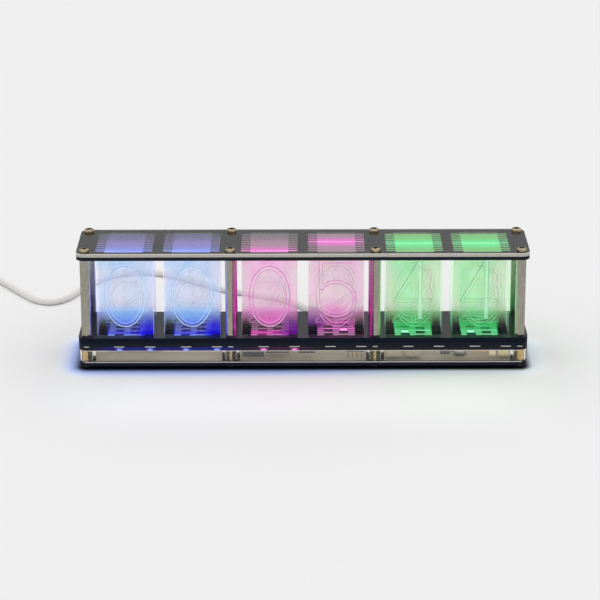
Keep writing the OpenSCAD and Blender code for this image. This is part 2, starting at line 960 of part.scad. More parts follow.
// Tube swept along points, its rings square to the path and its ends square to their own headings
function ring(mid, way, r, sides) =
    let (
        across = cross(way, [0, 0, 1]) / norm(cross(way, [0, 0, 1])),
        up = cross(across, way)
    )
        [for (i = [0:sides - 1]) let (a = 360 * i / sides) mid + r * (cos(a) * across + sin(a) * up)];

module tube(path, r, sides, start_way, end_way) {
    last = len(path) - 1;
    ways = [for (i = [0:last]) i == 0 ? start_way : i == last ? end_way : heading(path, i)];
    rings = [for (i = [0:last]) each ring(path[i], ways[i], r, sides)];
    polyhedron(
        rings,
        concat(
            [for (j = [1:sides - 2]) [0, j, j + 1]],
            [for (i = [0:last - 1], j = [0:sides - 1]) let (k = (j + 1) % sides)
                each [
                    [i * sides + j, (i + 1) * sides + j, (i + 1) * sides + k],
                    [i * sides + j, (i + 1) * sides + k, i * sides + k]
                ]],
            [for (j = [1:sides - 2]) [last * sides, last * sides + j + 1, last * sides + j]]
        )
    );
}

function path_length(path, i = 1) =
    i == len(path) ? 0 : norm(path[i] - path[i - 1]) + path_length(path, i + 1);

half_loop = rings_per_loop / 2;
coil_gaps = [
    for (i = [0:coil_steps - half_loop], j = [i + half_loop:coil_steps])
        norm(coil_turns[i] - coil_turns[j]) - cord_d
];
echo(coil_gap_to_itself = min(coil_gaps));
echo(cord_length = path_length(run_path) + path_length(coil_path) + path_length(tail_path));

module cord_run() {
    color([0.95, 0.95, 0.95]) tube(run_path, cord_r, 8, [0, 1, 0], coil_way);
}

module cord_coil() {
    color([0.95, 0.95, 0.95]) tube(coil_path, cord_r, 6, coil_way, tail_way);
}

module cord_tail() {
    color([0.95, 0.95, 0.95]) tube(tail_path, cord_r, 8, tail_way, tail_way);
}

// Strap round the coil's turns on one side
module cord_tie() {
    inner_r = coil_out_r - turn_pitch * coil_loops / 2 - cord_r - tie_side_gap;
    outer_r = coil_out_r + cord_r + tie_side_gap;
    inner_h = turn_pitch + cord_d + 2 * tie_gap;
    color([0.2, 0.2, 0.21])
        translate([coil_mid.x, coil_mid.y, 0])
            rotate(coil_start_a + 117)
                translate([inner_r - tie_t, tie_w / 2, 0])
                    rotate([90, 0, 0])
                        linear_extrude(tie_w)
                            difference() {
                                square([outer_r - inner_r + 2 * tie_t, inner_h + 2 * tie_t]);
                                translate([tie_t, tie_t]) square([outer_r - inner_r, inner_h]);
                            }
}

// Far plug lies on the table in line with the tail
module at_tail_end(ahead) {
    translate(tail_end + ahead * tail_way) rotate(coil_start_a + coil_turn) children();
}

module far_plug_body() {
    color([0.95, 0.95, 0.95]) {
        at_tail_end(0)
            rotate([-90, 0, 0])
                cylinder(d1 = relief_end_d, d2 = relief_d, h = far_relief_l + pass);
        at_tail_end(far_relief_l) rounded_bar(far_body_size, plug_corner_r);
    }
}

module far_plug_shell() {
    inner = [far_shell_size.x - 2 * far_shell_wall, far_shell_size.y, far_shell_size.z - 2 * far_shell_wall];
    color([0.8, 0.8, 0.8])
        at_tail_end(far_relief_l + far_body_size.y)
            difference() {
                translate([-far_shell_size.x / 2, 0, -far_shell_size.z / 2]) cube(far_shell_size);
                translate([-inner.x / 2, 2, inner.z / 2 - inner.z + far_tongue_t])
                    cube([inner.x, inner.y, inner.z - far_tongue_t]);
            }
}

top_cover();
top_frame();
hours_tens_plates();
hours_units_plates();
minutes_tens_plates();
minutes_units_plates();
seconds_tens_plates();
seconds_units_plates();
deck_plate();
light_mask();
led_board();
led_packages();
edge_pads();
base_frame_upper();
base_frame_middle();
base_frame_lower();
bottom_plate();
hex_posts();
brass_standoffs();
top_screws();
bottom_screws();
pin_strip();
power_capacitor();
cell_holder();
backup_cell();
clock_chip();
voltage_regulator();
controller_chip();
pin_header();
header_pins();
wire_connectors();
inductor();
crystal();
tantalum_capacitor();
film_capacitor();
trimmer();
power_socket();
switch_bodies();
mode_button();
up_button();
down_button();
plug_tip();
plug_body();
strain_relief();
cord_run();
cord_coil();
cord_tie();
cord_tail();
far_plug_body();
far_plug_shell();
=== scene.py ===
# %% [markdown]
# # A clock of edge-lit digit plates
# The clock is a stack of laser-cut acrylic sheets, held together by screws, hexagonal
# posts and brass standoffs. Between its deck and its top frame stand six stacks of ten
# clear plates, and each plate has one digit engraved in its front face. A light under a
# plate shines up into its lower edge, and the light comes out again where the face is
# cut, so one digit of each stack glows and the other nine stay nearly unseen.
# The solids come first: they are loaded as a fixed frame, and everything below is a
# finish on one of them, or a finer piece that takes the place of one.

# %% Load the frame
import math

import bmesh
import bpy
from mathutils import Matrix, Quaternion, Vector


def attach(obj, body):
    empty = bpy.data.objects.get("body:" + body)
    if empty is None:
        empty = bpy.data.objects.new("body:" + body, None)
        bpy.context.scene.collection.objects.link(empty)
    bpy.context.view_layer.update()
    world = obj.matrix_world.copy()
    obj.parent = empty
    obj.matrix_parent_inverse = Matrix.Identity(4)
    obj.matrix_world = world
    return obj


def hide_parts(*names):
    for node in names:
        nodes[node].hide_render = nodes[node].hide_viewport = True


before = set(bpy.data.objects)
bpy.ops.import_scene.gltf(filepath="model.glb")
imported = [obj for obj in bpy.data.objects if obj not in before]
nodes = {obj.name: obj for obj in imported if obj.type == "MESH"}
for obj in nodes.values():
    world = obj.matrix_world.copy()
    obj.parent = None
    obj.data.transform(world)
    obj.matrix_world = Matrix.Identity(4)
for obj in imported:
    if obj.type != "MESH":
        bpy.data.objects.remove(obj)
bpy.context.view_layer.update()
scene = bpy.context.scene
MM = 0.001

# %% [markdown]
# ## The camera
# The picture was taken from straight in front, a little under nineteen degrees above the
# table, with a long lens. Its place was worked out from the corners of the sheets, whose
# sizes are known. A camera looks along its own minus Z, so `to_track_quat` turns that
# axis to the target, and the last small turn is the tilt of the picture itself.

# %% Camera
CAMERA_AT = Vector((-1.65, -1296.5, 476.9)) * MM
CAMERA_TO = Vector((-1.65, 0, 32.95)) * MM
PICTURE_ANGLE = 13.975
PICTURE_TILT = -0.0023

camera = bpy.data.objects.new("camera", bpy.data.cameras.new("camera"))
camera.data.sensor_fit = "HORIZONTAL"
camera.data.angle = math.radians(PICTURE_ANGLE)
camera.data.clip_start = 0.05
camera.location = CAMERA_AT
aim = (CAMERA_TO - CAMERA_AT).to_track_quat("-Z", "Y")
camera.rotation_mode = "QUATERNION"
camera.rotation_quaternion = aim @ Quaternion((0, 0, 1), PICTURE_TILT)
scene.collection.objects.link(camera)
scene.camera = camera
print("camera:", round((CAMERA_TO - CAMERA_AT).length, 3), "m from the clock")

# %% [markdown]
# ## The cord
# A thin white lead runs from the socket at the rear across the table and out of the
# picture on the left. It is about a metre long, and the length that the picture doesn't
# show is wound into a small coil there, in two layers, with its plug beside it. The
# route's points are those of the solids. A smooth curve through them needs no modelling
# at all: a poly spline with a round bevel is already a tube.

# %% Cord route
CORD_D = 3.6
EXIT = Vector((10, 44, 9.8))
ROUTE = [
    (10, 51, 9), (9, 59, 6.4), (6, 67, 3.6), (2, 75, 2.2), (-4, 84, 1.9),
    (-15, 94, 1.9), (-30, 102, 1.9), (-48, 111, 1.9), (-68, 128, 1.9), (-88, 142, 1.9),
    (-106, 144, 1.9), (-122, 133, 1.9), (-134, 112, 1.9), (-141, 96, 1.9), (-150, 88, 1.9),
    (-160, 92, 1.9), (-171, 107, 1.9), (-186, 130, 1.9), (-193, 140, 2.4),
]
COIL_MID = (-222, 138)
COIL_START = math.radians(34)
COIL_LOOPS = 5.5
COIL_Z = 2.9
TURN_PITCH = 4.2
BEND_RATIO = 10.5
COIL_INSET = 0.12
OUTER_R = BEND_RATIO * CORD_D / 2 + COIL_LOOPS * TURN_PITCH / 4 - COIL_INSET
RINGS_PER_LOOP = 48
TAIL_L = 30
FAR_AXIS_Z = 4.2
print("route:", len(ROUTE), "points and a coil of", COIL_LOOPS, "turns,", OUTER_R, "mm in radius")

# %% Cord line
RUN_STEPS = 6
TAIL_STEPS = 8


def heading(angle):
    return Vector((-math.sin(angle), math.cos(angle), 0))


def coil_point(turned):
    angle = COIL_START + math.tau * turned
    radius = OUTER_R - TURN_PITCH * min(turned, COIL_LOOPS - turned)
    part = min(1, max(0, (turned - COIL_LOOPS / 2) * 2 + 0.5))
    lift = TURN_PITCH * part * part * (3 - 2 * part)
    return Vector((
        COIL_MID[0] + radius * math.cos(angle),
        COIL_MID[1] + radius * math.sin(angle),
        COIL_Z + lift,
    ))


def smooth(points, steps):
    """Points on a Catmull-Rom curve; the first and last points only steer its ends."""
    found = []
    for p, q, r, s in zip(points, points[1:], points[2:], points[3:]):
        for step in range(steps):
            t = step / steps
            found.append(0.5 * (
                2 * q + (r - p) * t + (2 * p - 5 * q + 4 * r - s) * t ** 2
                + (3 * q - p - 3 * r + s) * t ** 3
            ))
    return found + [points[-2]]


coil_end = COIL_START + math.tau * COIL_LOOPS
coil_steps = round(COIL_LOOPS * RINGS_PER_LOOP)
coil = [coil_point(step / RINGS_PER_LOOP) for step in range(coil_steps + 1)]
coil_in = coil[0] - CORD_D * heading(COIL_START)
coil_out = coil[-1] + CORD_D * heading(coil_end)
tail_end = coil_out + TAIL_L * heading(coil_end)
tail_end.z = FAR_AXIS_Z
lead = CORD_D * heading(coil_end)
run = smooth(
    [EXIT - Vector((0, CORD_D, 0)), EXIT, *(Vector(p) for p in ROUTE), coil_in, coil[0]],
    RUN_STEPS,
)
tail_mid = (coil_out + tail_end) / 2
tail = smooth([coil_out - lead, coil_out, tail_mid, tail_end, tail_end + lead], TAIL_STEPS)
cord_points = [p * MM for p in run + coil + tail]
cord_length = sum((b - a).length for a, b in zip(cord_points, cord_points[1:]))
print("cord:", len(cord_points), "points,", round(cord_length, 4), "m")

# %% Cord piece
cord_curve = bpy.data.curves.new("cord", "CURVE")
cord_curve.dimensions = "3D"
cord_curve.bevel_depth = CORD_D / 2 * MM
cord_curve.bevel_resolution = 4
cord_curve.use_fill_caps = True
spline = cord_curve.splines.new("POLY")
spline.points.add(len(cord_points) - 1)
for place, point in zip(spline.points, cord_points):
    place.co = (*point, 1)


def settled(item):
    """The mesh that an object shows once its curve or modifiers are worked out."""
    shown = item.evaluated_get(bpy.context.evaluated_depsgraph_get())
    return bpy.data.meshes.new_from_object(shown)


def place_piece(name, mesh):
    item = bpy.data.objects.new(name, mesh)
    scene.collection.objects.link(item)
    return item


draft = place_piece("cord_draft", cord_curve)
cord = place_piece("cord", settled(draft))
bpy.data.objects.remove(draft)
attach(cord, "clock")
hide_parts("cord_run", "cord_coil", "cord_tail")
print("cord piece:", len(cord.data.polygons), "faces")

# %% [markdown]
# ## A small language for finishes
# Every finish below is a node tree on one Principled shader. Writing the trees as Python
# expressions keeps them readable: `Wire` wraps a socket, and arithmetic on it adds Math
# nodes, so `1 - mask` is a real node in the tree. `Finish` owns one material, and
# `add_node` makes every node: its settings come first, because some of them change which
# inputs a node has.

# %% Wires
def join(slot, value):
    """Sets a node's input: a wire is linked, and a plain value is written."""
    if isinstance(value, Wire):
        slot.id_data.links.new(value.socket, slot)
    elif hasattr(value, "__len__") and len(value) == 3 and len(slot.default_value) == 4:
        slot.default_value = (*value, 1)
    else:
        slot.default_value = value


def add_node(tree, kind, settings=None, inputs=None, out=0):
    """Adds a node with its settings first and its inputs next, and gives one output."""
    node = tree.nodes.new("ShaderNode" + kind)
    for key, value in (settings or {}).items():
        setattr(node, key, value)
    for key, value in (inputs or {}).items():
        join(node.inputs[key], value)
    return Wire(node.outputs[out])


class Wire:
    """One output socket; arithmetic on it adds Math nodes to its tree."""

    def __init__(self, socket):
        self.socket = socket

    def node(self, kind, settings, *values):
        return add_node(self.socket.id_data, kind, settings, dict(enumerate(values)))

    def math(self, operation, *values):
        return self.node("Math", {"operation": operation}, *values)

    def __add__(self, other):
        return self.math("ADD", self, other)

    def __sub__(self, other):
        return self.math("SUBTRACT", self, other)

    def __rsub__(self, other):
        return self.math("SUBTRACT", other, self)

    def __mul__(self, other):
        return self.math("MULTIPLY", self, other)

    def __truediv__(self, other):
        return self.math("DIVIDE", self, other)

    def __rtruediv__(self, other):
        return self.math("DIVIDE", other, self)

    def __abs__(self):
        return self.math("ABSOLUTE", self)

    __radd__ = __add__
    __rmul__ = __mul__

    def fade(self, start, end):
        """1 at start, 0 at end and smooth between them."""
        low, high = min(start, end), max(start, end)
        at_low, at_high = float(start < end), float(start > end)
        smooth_step = {"interpolation_type": "SMOOTHSTEP"}
        return self.node("MapRange", smooth_step, self, low, high, at_low, at_high)


print("wires: ready")

# %% Finishes
class Finish:
    """One procedural material on a Principled shader."""

    def __init__(self, name, **constant):
        self.name = name
        self.material = bpy.data.materials.new(name)
        self.material.use_nodes = True
        self.tree = self.material.node_tree
        self.shader = self.tree.nodes["Principled BSDF"]
        self.feed(**constant)

    def node(self, kind, settings=None, inputs=None, out=0):
        return add_node(self.tree, kind, settings, inputs, out)

    def feed(self, **wires):
        """Sets the shader's inputs, with _ for each space in their names."""
        for slot, value in wires.items():
            join(self.shader.inputs[slot.replace("_", " ")], value)
        return self

    def where(self):
        """The place on the object, in metres, as one vector wire."""
        return self.node("TexCoord", out="Object")

    def axes(self):
        """The place on the object as three wires, in millimetres."""
        scale = {"operation": "SCALE"}
        spread = self.node("VectorMath", scale, {0: self.where(), "Scale": 1 / MM})
        parts = self.node("SeparateXYZ", None, {0: spread}).socket.node
        return [Wire(output) for output in parts.outputs]

    def noise(self, size, detail=2.0, stretch=(1, 1, 1)):
        """Soft noise from 0 to 1 whose grains are about size millimetres across."""
        turned = self.node("Mapping", None, {"Vector": self.where(), "Scale": stretch})
        return self.node(
            "TexNoise", None, {"Vector": turned, "Scale": 1 / (size * MM), "Detail": detail}
        )

    def tint(self, factor, low, high):
        """A colour between two, by a factor from 0 to 1."""
        return self.node("Mix", {"data_type": "RGBA"}, {0: factor, 6: low, 7: high}, out=2)

    def upright(self):
        """How far the surface faces up or down: 1 on a sheet's faces and 0 on its edges."""
        normal = self.node("NewGeometry", out="Normal")
        return abs(self.node("SeparateXYZ", None, {0: normal}, "Z"))

    def layer(self, factor, **wires):
        """Lays a second shader over the first one, by a factor from 0 to 1."""
        inputs = {slot.replace("_", " "): value for slot, value in wires.items()}
        over = self.node("BsdfPrincipled", None, inputs)
        under = Wire(self.shader.outputs[0])
        mixed = self.node("MixShader", None, {0: factor, 1: under, 2: over})
        join(self.tree.nodes["Material Output"].inputs["Surface"], mixed)
        return self

    def relief(self, height, depth, strength=0.5):
        """A bump of that depth in millimetres, fed to the shader's normal."""
        bump = self.node(
            "Bump", None, {"Height": height, "Distance": depth * MM, "Strength": strength}
        )
        return self.feed(Normal=bump)


def wear(objects, finish):
    """Puts one finish on whole objects, CAD nodes or pieces."""
    for item in objects:
        item.data.materials.clear()
        item.data.materials.append(finish.material)


print("finishes: ready")

# %% [markdown]
# ## The plain finishes
# Cast acrylic is smooth but never perfect: its gloss changes a little from place to
# place, and it picks up fine dust. Turned and plated metal has streaks along its length.
# Each finish below starts from one colour and one roughness, and noise at the real scale
# of the thing moves both a little.

# %% Black acrylic
CAVITY = (120.5, 18.5)
BOTTOM_TOP_Z = 4.0


def black_acrylic(name, cavity_lit=0.0, gloss=0.9, sheen=0.12):
    """Polished faces have a clear gloss, and the laser leaves the edges dull.

    The part of the sheet that faces the cavity can be painted pale: painted light for the
    daylight seen inside the base.
    """
    f = Finish(name, Specular_IOR_Level=sheen, IOR=1.49, Coat_Roughness=0.06, Coat_IOR=1.49)
    cloud = f.noise(26, 3)
    dust = 1 - f.noise(0.5, 1).fade(0.7, 0.8)
    x, y, z = f.axes()
    # Painted light: pale where the sheet faces the cavity, standing in for the daylight inside
    # the base.
    cavity_light = abs(x).fade(CAVITY[0], CAVITY[0] + 0.1) * abs(y).fade(CAVITY[1], CAVITY[1] + 0.1)
    cavity_light = cavity_light * z.fade(BOTTOM_TOP_Z, BOTTOM_TOP_Z - 0.2) * cavity_lit
    sheet = f.tint(dust, (0.007, 0.010, 0.019), (0.03, 0.033, 0.042))
    f.feed(
        Base_Color=f.tint(cavity_light, sheet, f.tint(cloud, (0.5, 0.47, 0.4), (0.62, 0.58, 0.5))),
        Roughness=0.25 + cloud * 0.1 + cavity_light * 0.4,
        Coat_Weight=f.upright().fade(0.8, 0.4) * (gloss - dust * 0.4) * (1 - cavity_light),
    )
    return f.relief(f.noise(9, 2), 0.02, 0.25)


wear([nodes["top_frame"], nodes["light_mask"]], black_acrylic("black_acrylic"))
wear([nodes["bottom_plate"]], black_acrylic("black_acrylic_cavity_lit", 1.0))
wear([nodes["deck_plate"]], black_acrylic("black_acrylic_deck", gloss=0.5, sheen=0.03))
print("black acrylic: top frame, deck, light mask and bottom plate")

# %% Metals
def metal(name, light, dark, rough, grain, stretch=(1, 1, 1)):
    f = Finish(name, Metallic=1.0)
    streak = f.noise(grain, 3, stretch)
    spots = f.noise(grain * 3, 2)
    f.feed(
        Base_Color=f.tint(streak * 0.6 + spots * 0.4, dark, light),
        Roughness=rough + streak * 0.14 - spots * 0.04,
    )
    return f.relief(streak, 0.01, 0.15)


nickel = metal("nickel", (0.5, 0.47, 0.4), (0.16, 0.15, 0.12), 0.14, 0.7, (1, 1, 0.08))
screw_steel = metal("screw_steel", (0.72, 0.61, 0.41), (0.2, 0.16, 0.09), 0.1, 0.5)
brass = metal("brass", (0.86, 0.64, 0.27), (0.6, 0.42, 0.15), 0.22, 0.6, (1, 1, 0.1))
tin = metal("tin", (0.97, 0.97, 0.95), (0.86, 0.86, 0.84), 0.3, 0.4)
bright_metal = metal("bright_metal", (0.86, 0.85, 0.81), (0.66, 0.65, 0.61), 0.16, 0.8)
print("metals: nickel, screw steel, brass, tin and bright metal")

# %% [markdown]
# Two of the metals change from place to place. The cross recess of a screw gets a painted
# shade: what lies deep and near a screw's axis is blackened. A post is a mirror of a kind:
# each of its sides gets a painted reflection in the colour of the digits that it faces,
# most of all at its outer edge and low down, where the digits are brightest. A little
# emission in the same colour is a painted glow for the light that the digits throw on it.

# %% Recess shade and bay light
CLOCK_H = 69.4
RECESS_R = 2.3
# Depths and colour of the painted shade in the cross recess.
RECESS_SHADE_DEPTH = (0.2, 0.06)
RECESS_SHADE = (0.012, 0.01, 0.007)
ROW_Y = 18
BAY_HALF = 40
BAY_PITCH = 80
BAYS = [
    (-BAY_PITCH, (0.04, 0.05, 0.36)), (0, (0.46, 0.03, 0.3)), (BAY_PITCH, (0.08, 0.42, 0.08)),
]
BAY_LIGHT = 0.7
LOOK_AHEAD = 12
BLACK = (0, 0, 0)


def from_screw_row(x):
    """How far a place is, along X, from the nearest screw or post axis."""
    return abs(abs(abs(x) - BAY_PITCH) - BAY_HALF)


def worn_colour(f):
    """The wire that already feeds a finish's colour."""
    return Wire(f.shader.inputs["Base Color"].links[0].from_socket)


def darken_recess(f):
    """Painted shade in the cross recess: what lies deeper than the head's skin, near a screw's
    axis.
    """
    x, y, z = f.axes()
    to_x, to_y = from_screw_row(x), abs(y) - ROW_Y
    inner = (to_x * to_x + to_y * to_y).fade(RECESS_R ** 2, RECESS_R ** 2 + 0.3)
    depth = CLOCK_H / 2 - abs(z - CLOCK_H / 2)
    f.feed(Base_Color=f.tint(inner * depth.fade(*RECESS_SHADE_DEPTH), worn_colour(f), RECESS_SHADE))


def light_from_bays(f):
    """Paints on each side of a post the reflection and the glow of the digits that it faces."""
    x, _, z = f.axes()
    turned = f.node("SeparateXYZ", None, {0: f.node("NewGeometry", out="Normal")})
    faced = x + turned * LOOK_AHEAD
    side = abs(turned).fade(0.9, 0.2) * from_screw_row(x).fade(2.5, 1.3)
    side = side * (0.35 + z.fade(30, 60) * 0.65)
    # Painted reflection in the base colour and painted glow in the emission.
    colour = worn_colour(f)
    light = BLACK
    for middle, hue in BAYS:
        share = abs(faced - middle).fade(BAY_HALF - 4, BAY_HALF - 1) * side
        colour = f.tint(share * 0.8, colour, hue)
        light = f.tint(share, light, hue)
    f.feed(Base_Color=colour, Emission_Color=light, Emission_Strength=BAY_LIGHT)


darken_recess(screw_steel)
light_from_bays(nickel)
print("bays:", len(BAYS), "colours on the posts")

# %% Plastics
def plastic(name, light, dark, rough, grain=0.35, depth=0.02):
    f = Finish(name)
    cloud = f.noise(6, 2)
    grit = f.noise(grain, 2)
    f.feed(
        Base_Color=f.tint(cloud * 0.7 + grit * 0.3, dark, light),
        Roughness=rough + grit * 0.16,
    )
    return f.relief(grit, depth, 0.35)


chip_black = plastic("chip_black", (0.03, 0.03, 0.033), (0.014, 0.014, 0.016), 0.4)
can_black = plastic("can_black", (0.028, 0.03, 0.038), (0.012, 0.013, 0.018), 0.22)
button_black = plastic("button_black", (0.03, 0.03, 0.033), (0.015, 0.015, 0.017), 0.35)
cream_plastic = plastic("cream_plastic", (0.6, 0.54, 0.4), (0.48, 0.43, 0.3), 0.32)
ivory_nylon = plastic("ivory_nylon", (0.3, 0.285, 0.23), (0.24, 0.225, 0.18), 0.34)
brown_epoxy = plastic("brown_epoxy", (0.42, 0.25, 0.08), (0.28, 0.15, 0.04), 0.25)
white_vinyl = plastic("white_vinyl", (0.8, 0.79, 0.76), (0.72, 0.71, 0.68), 0.34, 0.5)
tie_fabric = plastic("tie_fabric", (0.05, 0.05, 0.055), (0.02, 0.02, 0.024), 0.75, 0.25, 0.12)
wear([cord], white_vinyl)
print("plain finishes:", len(bpy.data.materials))

# %% [markdown]
# ## Clear acrylic
# The cover and the three frames of the base are clear. They are few and thick, so real
# refraction is worth its cost. The light on their cut edges is painted over it: the
# cover's edge is painted beige with a painted highlight along its top, and the base has
# painted highlight lines along its top and bottom, fainter ones at its seams and a faint
# beige veil of painted light on its walls. A laser leaves fine upright streaks on the cut
# edges. Where two frames lie on each other, the seam is made see-through, as if they were
# bonded: two level faces at the same place would mirror each other in dark bands.

# %% Clear sheets
COVER_Z = (65.4, 67.4)
FRAME_SEAMS = (4.0, 6.4, 8.8, 11.2)
WALL = (124.4, 22.4)


def clear_acrylic(name, colour, rough):
    f = Finish(name, Transmission_Weight=1.0, IOR=1.49, Base_Color=colour)
    streak = f.noise(0.9, 2, (1, 1, 0.05))
    f.feed(Roughness=rough + streak * 0.03)
    return f.relief(streak, 0.01, 0.12), streak


def cover_finish():
    """Clear faces, and a cut edge painted beige with a painted highlight along its top."""
    f, streak = clear_acrylic("cover_clear", (0.97, 0.96, 0.93), 0.0)
    # A painted highlight along the top of the cut edge, over an edge painted beige.
    line = f.axes()[2].fade(COVER_Z[1], COVER_Z[1] - 0.7)
    beige = f.tint(streak, (0.46, 0.43, 0.38), (0.64, 0.61, 0.55))
    cream = f.tint(line, beige, (0.98, 0.96, 0.9))
    return f.layer(f.upright().fade(0.3, 0.6) * 0.85, Base_Color=cream, Roughness=0.35)


def base_finish():
    """Clear frames, bonded at their seams, with painted highlight lines at the top and bottom
    edges and a faint painted beige veil on the walls.
    """
    f, streak = clear_acrylic("base_clear", (0.95, 0.92, 0.84), 0.02)
    x, y, z = f.axes()
    bottom, *inner_seams, top = FRAME_SEAMS
    # Painted highlights: lighter bands at the inner seams.
    seams = sum(abs(z - seam).fade(0.12, 0.45) for seam in inner_seams)
    bonded = sum(abs(z - seam).fade(0.05, 0.1) for seam in inner_seams)
    f.feed(Alpha=1 - f.upright().fade(0.8, 0.4) * bonded)
    # Painted highlight lines along the bottom and top edges.
    ends = abs(z - bottom - 0.1).fade(0.3, 0.7) + abs(z - top + 0.3).fade(0.15, 0.4) * 0.9
    beige = f.tint(streak, (0.25, 0.23, 0.2), (0.36, 0.34, 0.3))
    beige = f.tint(seams * 0.5, beige, (0.52, 0.49, 0.43))
    beige = f.tint(ends, beige, (0.8, 0.78, 0.72))
    # A faint beige veil of painted light on the outer walls, strongest on the highlight lines.
    outer = abs(y).fade(WALL[1], WALL[1] - 0.3) + abs(x).fade(WALL[0], WALL[0] - 0.3)
    return f.layer(
        outer * f.upright().fade(0.3, 0.6) * (0.04 + ends * 0.7 + seams * 0.08),
        Base_Color=beige, Roughness=0.4,
    )


wear([nodes["top_cover"]], cover_finish())
wear([nodes["base_frame_" + n] for n in ("lower", "middle", "upper")], base_finish())
print("clear sheets: one cover and", len(FRAME_SEAMS) - 1, "frames")

# %% [markdown]
# ## The digit plates
# Ten clear plates stand behind each other in a stack, so a ray of sight crosses twenty
# faces. Here the faces are made see-through by Alpha instead of bending the light: that
# stays clean at any number of faces. Each stack's solid is copied, its loose triangles
# are merged, and its faces are sorted into four finishes: polished faces, upright cut
# edges, engraved grooves and level cut edges. The light falls off from the lit plate to
# its neighbours, so each finish reads how far it stands from that plate. A light sits
# under one half of a plate, so its own half glows more, up to the middle line.

# %% Stacks and their colours
STACKS = [
    ("hours_tens", -98.5, 0, "blue"),
    ("hours_units", -61.5, 0, "blue"),
    ("minutes_tens", -18.5, 0, "pink"),
    ("minutes_units", 18.5, 5, "pink"),
    ("seconds_tens", 61.5, 4, "green"),
    ("seconds_units", 98.5, 4, "green"),
]
GLOWS = {
    "blue": ((0.02, 0.02, 1.0), (0.62, 0.8, 1.0)),
    "pink": ((1.0, 0.02, 0.62), (1.0, 0.62, 0.95)),
    "green": ((0.01, 0.85, 0.16), (0.55, 1.0, 0.8)),
}
SOFT_HUES = {"blue": (0.22, 0.6, 1.0), "pink": (1.0, 0.26, 0.75), "green": (0.14, 0.9, 0.3)}
# The haze is tinted in each stack's colour: painted light scattered from its digits.
HAZES = {
    "blue": ((0.9, 0.72, 0.9), (0.6, 0.82, 0.95)),
    "pink": ((0.88, 0.84, 0.74), (0.95, 0.66, 0.85)),
    "green": ((0.9, 0.9, 0.62), (0.5, 0.98, 0.52)),
}
CORNER_HUES = {"blue": (0.01, 0.003, 0.7), "pink": (0.14, 0.004, 0.32), "green": (0.0, 0.1, 0.02)}
VEIL_HUES = {"blue": (0.2, 0.38, 0.88), "pink": (0.55, 0.12, 0.42), "green": (0.1, 0.56, 0.17)}
WINDOW_HUES = {
    "blue": ((0.03, 0.02, 0.2), (0.16, 0.13, 0.58), (0.13, 0.24, 1.0)),
    "pink": ((0.13, 0.06, 0.11), (0.36, 0.15, 0.28), (0.9, 0.06, 0.7)),
    "green": ((0.02, 0.34, 0.04), (0.1, 0.6, 0.1), (0.02, 0.95, 0.26)),
}
print("stacks:", len(STACKS), "in", len(GLOWS), "colours")

# %% Plates
PLATE_COUNT = 10
PLATE_PITCH = 3.3
PLATE_T = 2.0
GROOVE_DEPTH = 0.5
DECK_TOP = 18.4
DIGIT_X = 11.6
DIGIT_Z = (22.4, 58.6)
DIGIT_MID_Z = 40.5
DIGIT_HALF = (11.25, 17.5)
WINDOW_X = 10.5
LIGHT_X = 4.3


def plate_y(value):
    return PLATE_PITCH * (value - (PLATE_COUNT - 1) / 2)


def light_x(value):
    return -LIGHT_X if value % 2 == 0 else LIGHT_X


def value_at(y):
    return round((y / MM - plate_y(0)) / PLATE_PITCH)


def oval_reach(off, z):
    """1 on the outline of the nought, less inside it and more outside."""
    wide, tall = off / DIGIT_HALF[0], (z - DIGIT_MID_Z) / DIGIT_HALF[1]
    return wide * wide + tall * tall


print("plates: from y", plate_y(0), "to", plate_y(PLATE_COUNT - 1), "mm")

# %% [markdown]
# A lit plate doesn't glow evenly. The light pools in the lower part of the nought, rings
# its outline, makes a beam above its own light package and leaves the corner across from
# it deep in colour. A thin line shines at its foot, and a veil hides the rear edge of the
# deck. `GLOW_Z` holds the height at which each of these is full and the one at which it
# ends, and `SHARES` says how strong it is in each colour.

# %% Polished faces
SHARES = {
    "blue": {"pool": 0.42, "block": 0.05, "corner": 0.55, "beam": 0.02, "ring": 0.16},
    "pink": {"pool": 0.3, "block": 0.02, "corner": 0.4, "beam": 0.05, "ring": 0.16},
    "green": {"pool": 0.08, "block": 0.1, "corner": 0.0, "beam": 0.19, "ring": 0.06},
}
GLOW_Z = {
    "block": (22, 28), "corner": (20.4, 31), "beam": (36, 28), "pool": (22, 36),
    "ring_top": (62, 52), "ring_foot": (32, 26), "deck": (20, 34), "pale": (38, 30),
}
VEIL_Z = 31
VEIL_STEP = 1.1
WINDOW_Z = (63.6, 63.0)
VEILS = {"blue": 0.22, "pink": 0.2, "green": 0.14}
HAZE = 0.05
SHADE = 0.75
# How strongly the haze glows in its stack's colour: a painted glow.
HAZE_GLOW = {"blue": 0.22, "pink": 0.13, "green": 0.1}


def window_hue(f, away, streak, glow):
    """The colour in a window of the top frame, by the distance from the lit plate."""
    far, middle, close = WINDOW_HUES[glow]
    hue = f.tint(away.fade(13, 26) * (0.7 + streak * 0.6), far, middle)
    return f.tint(away.fade(2.5, 10) * (0.75 + streak * 0.5), hue, close)


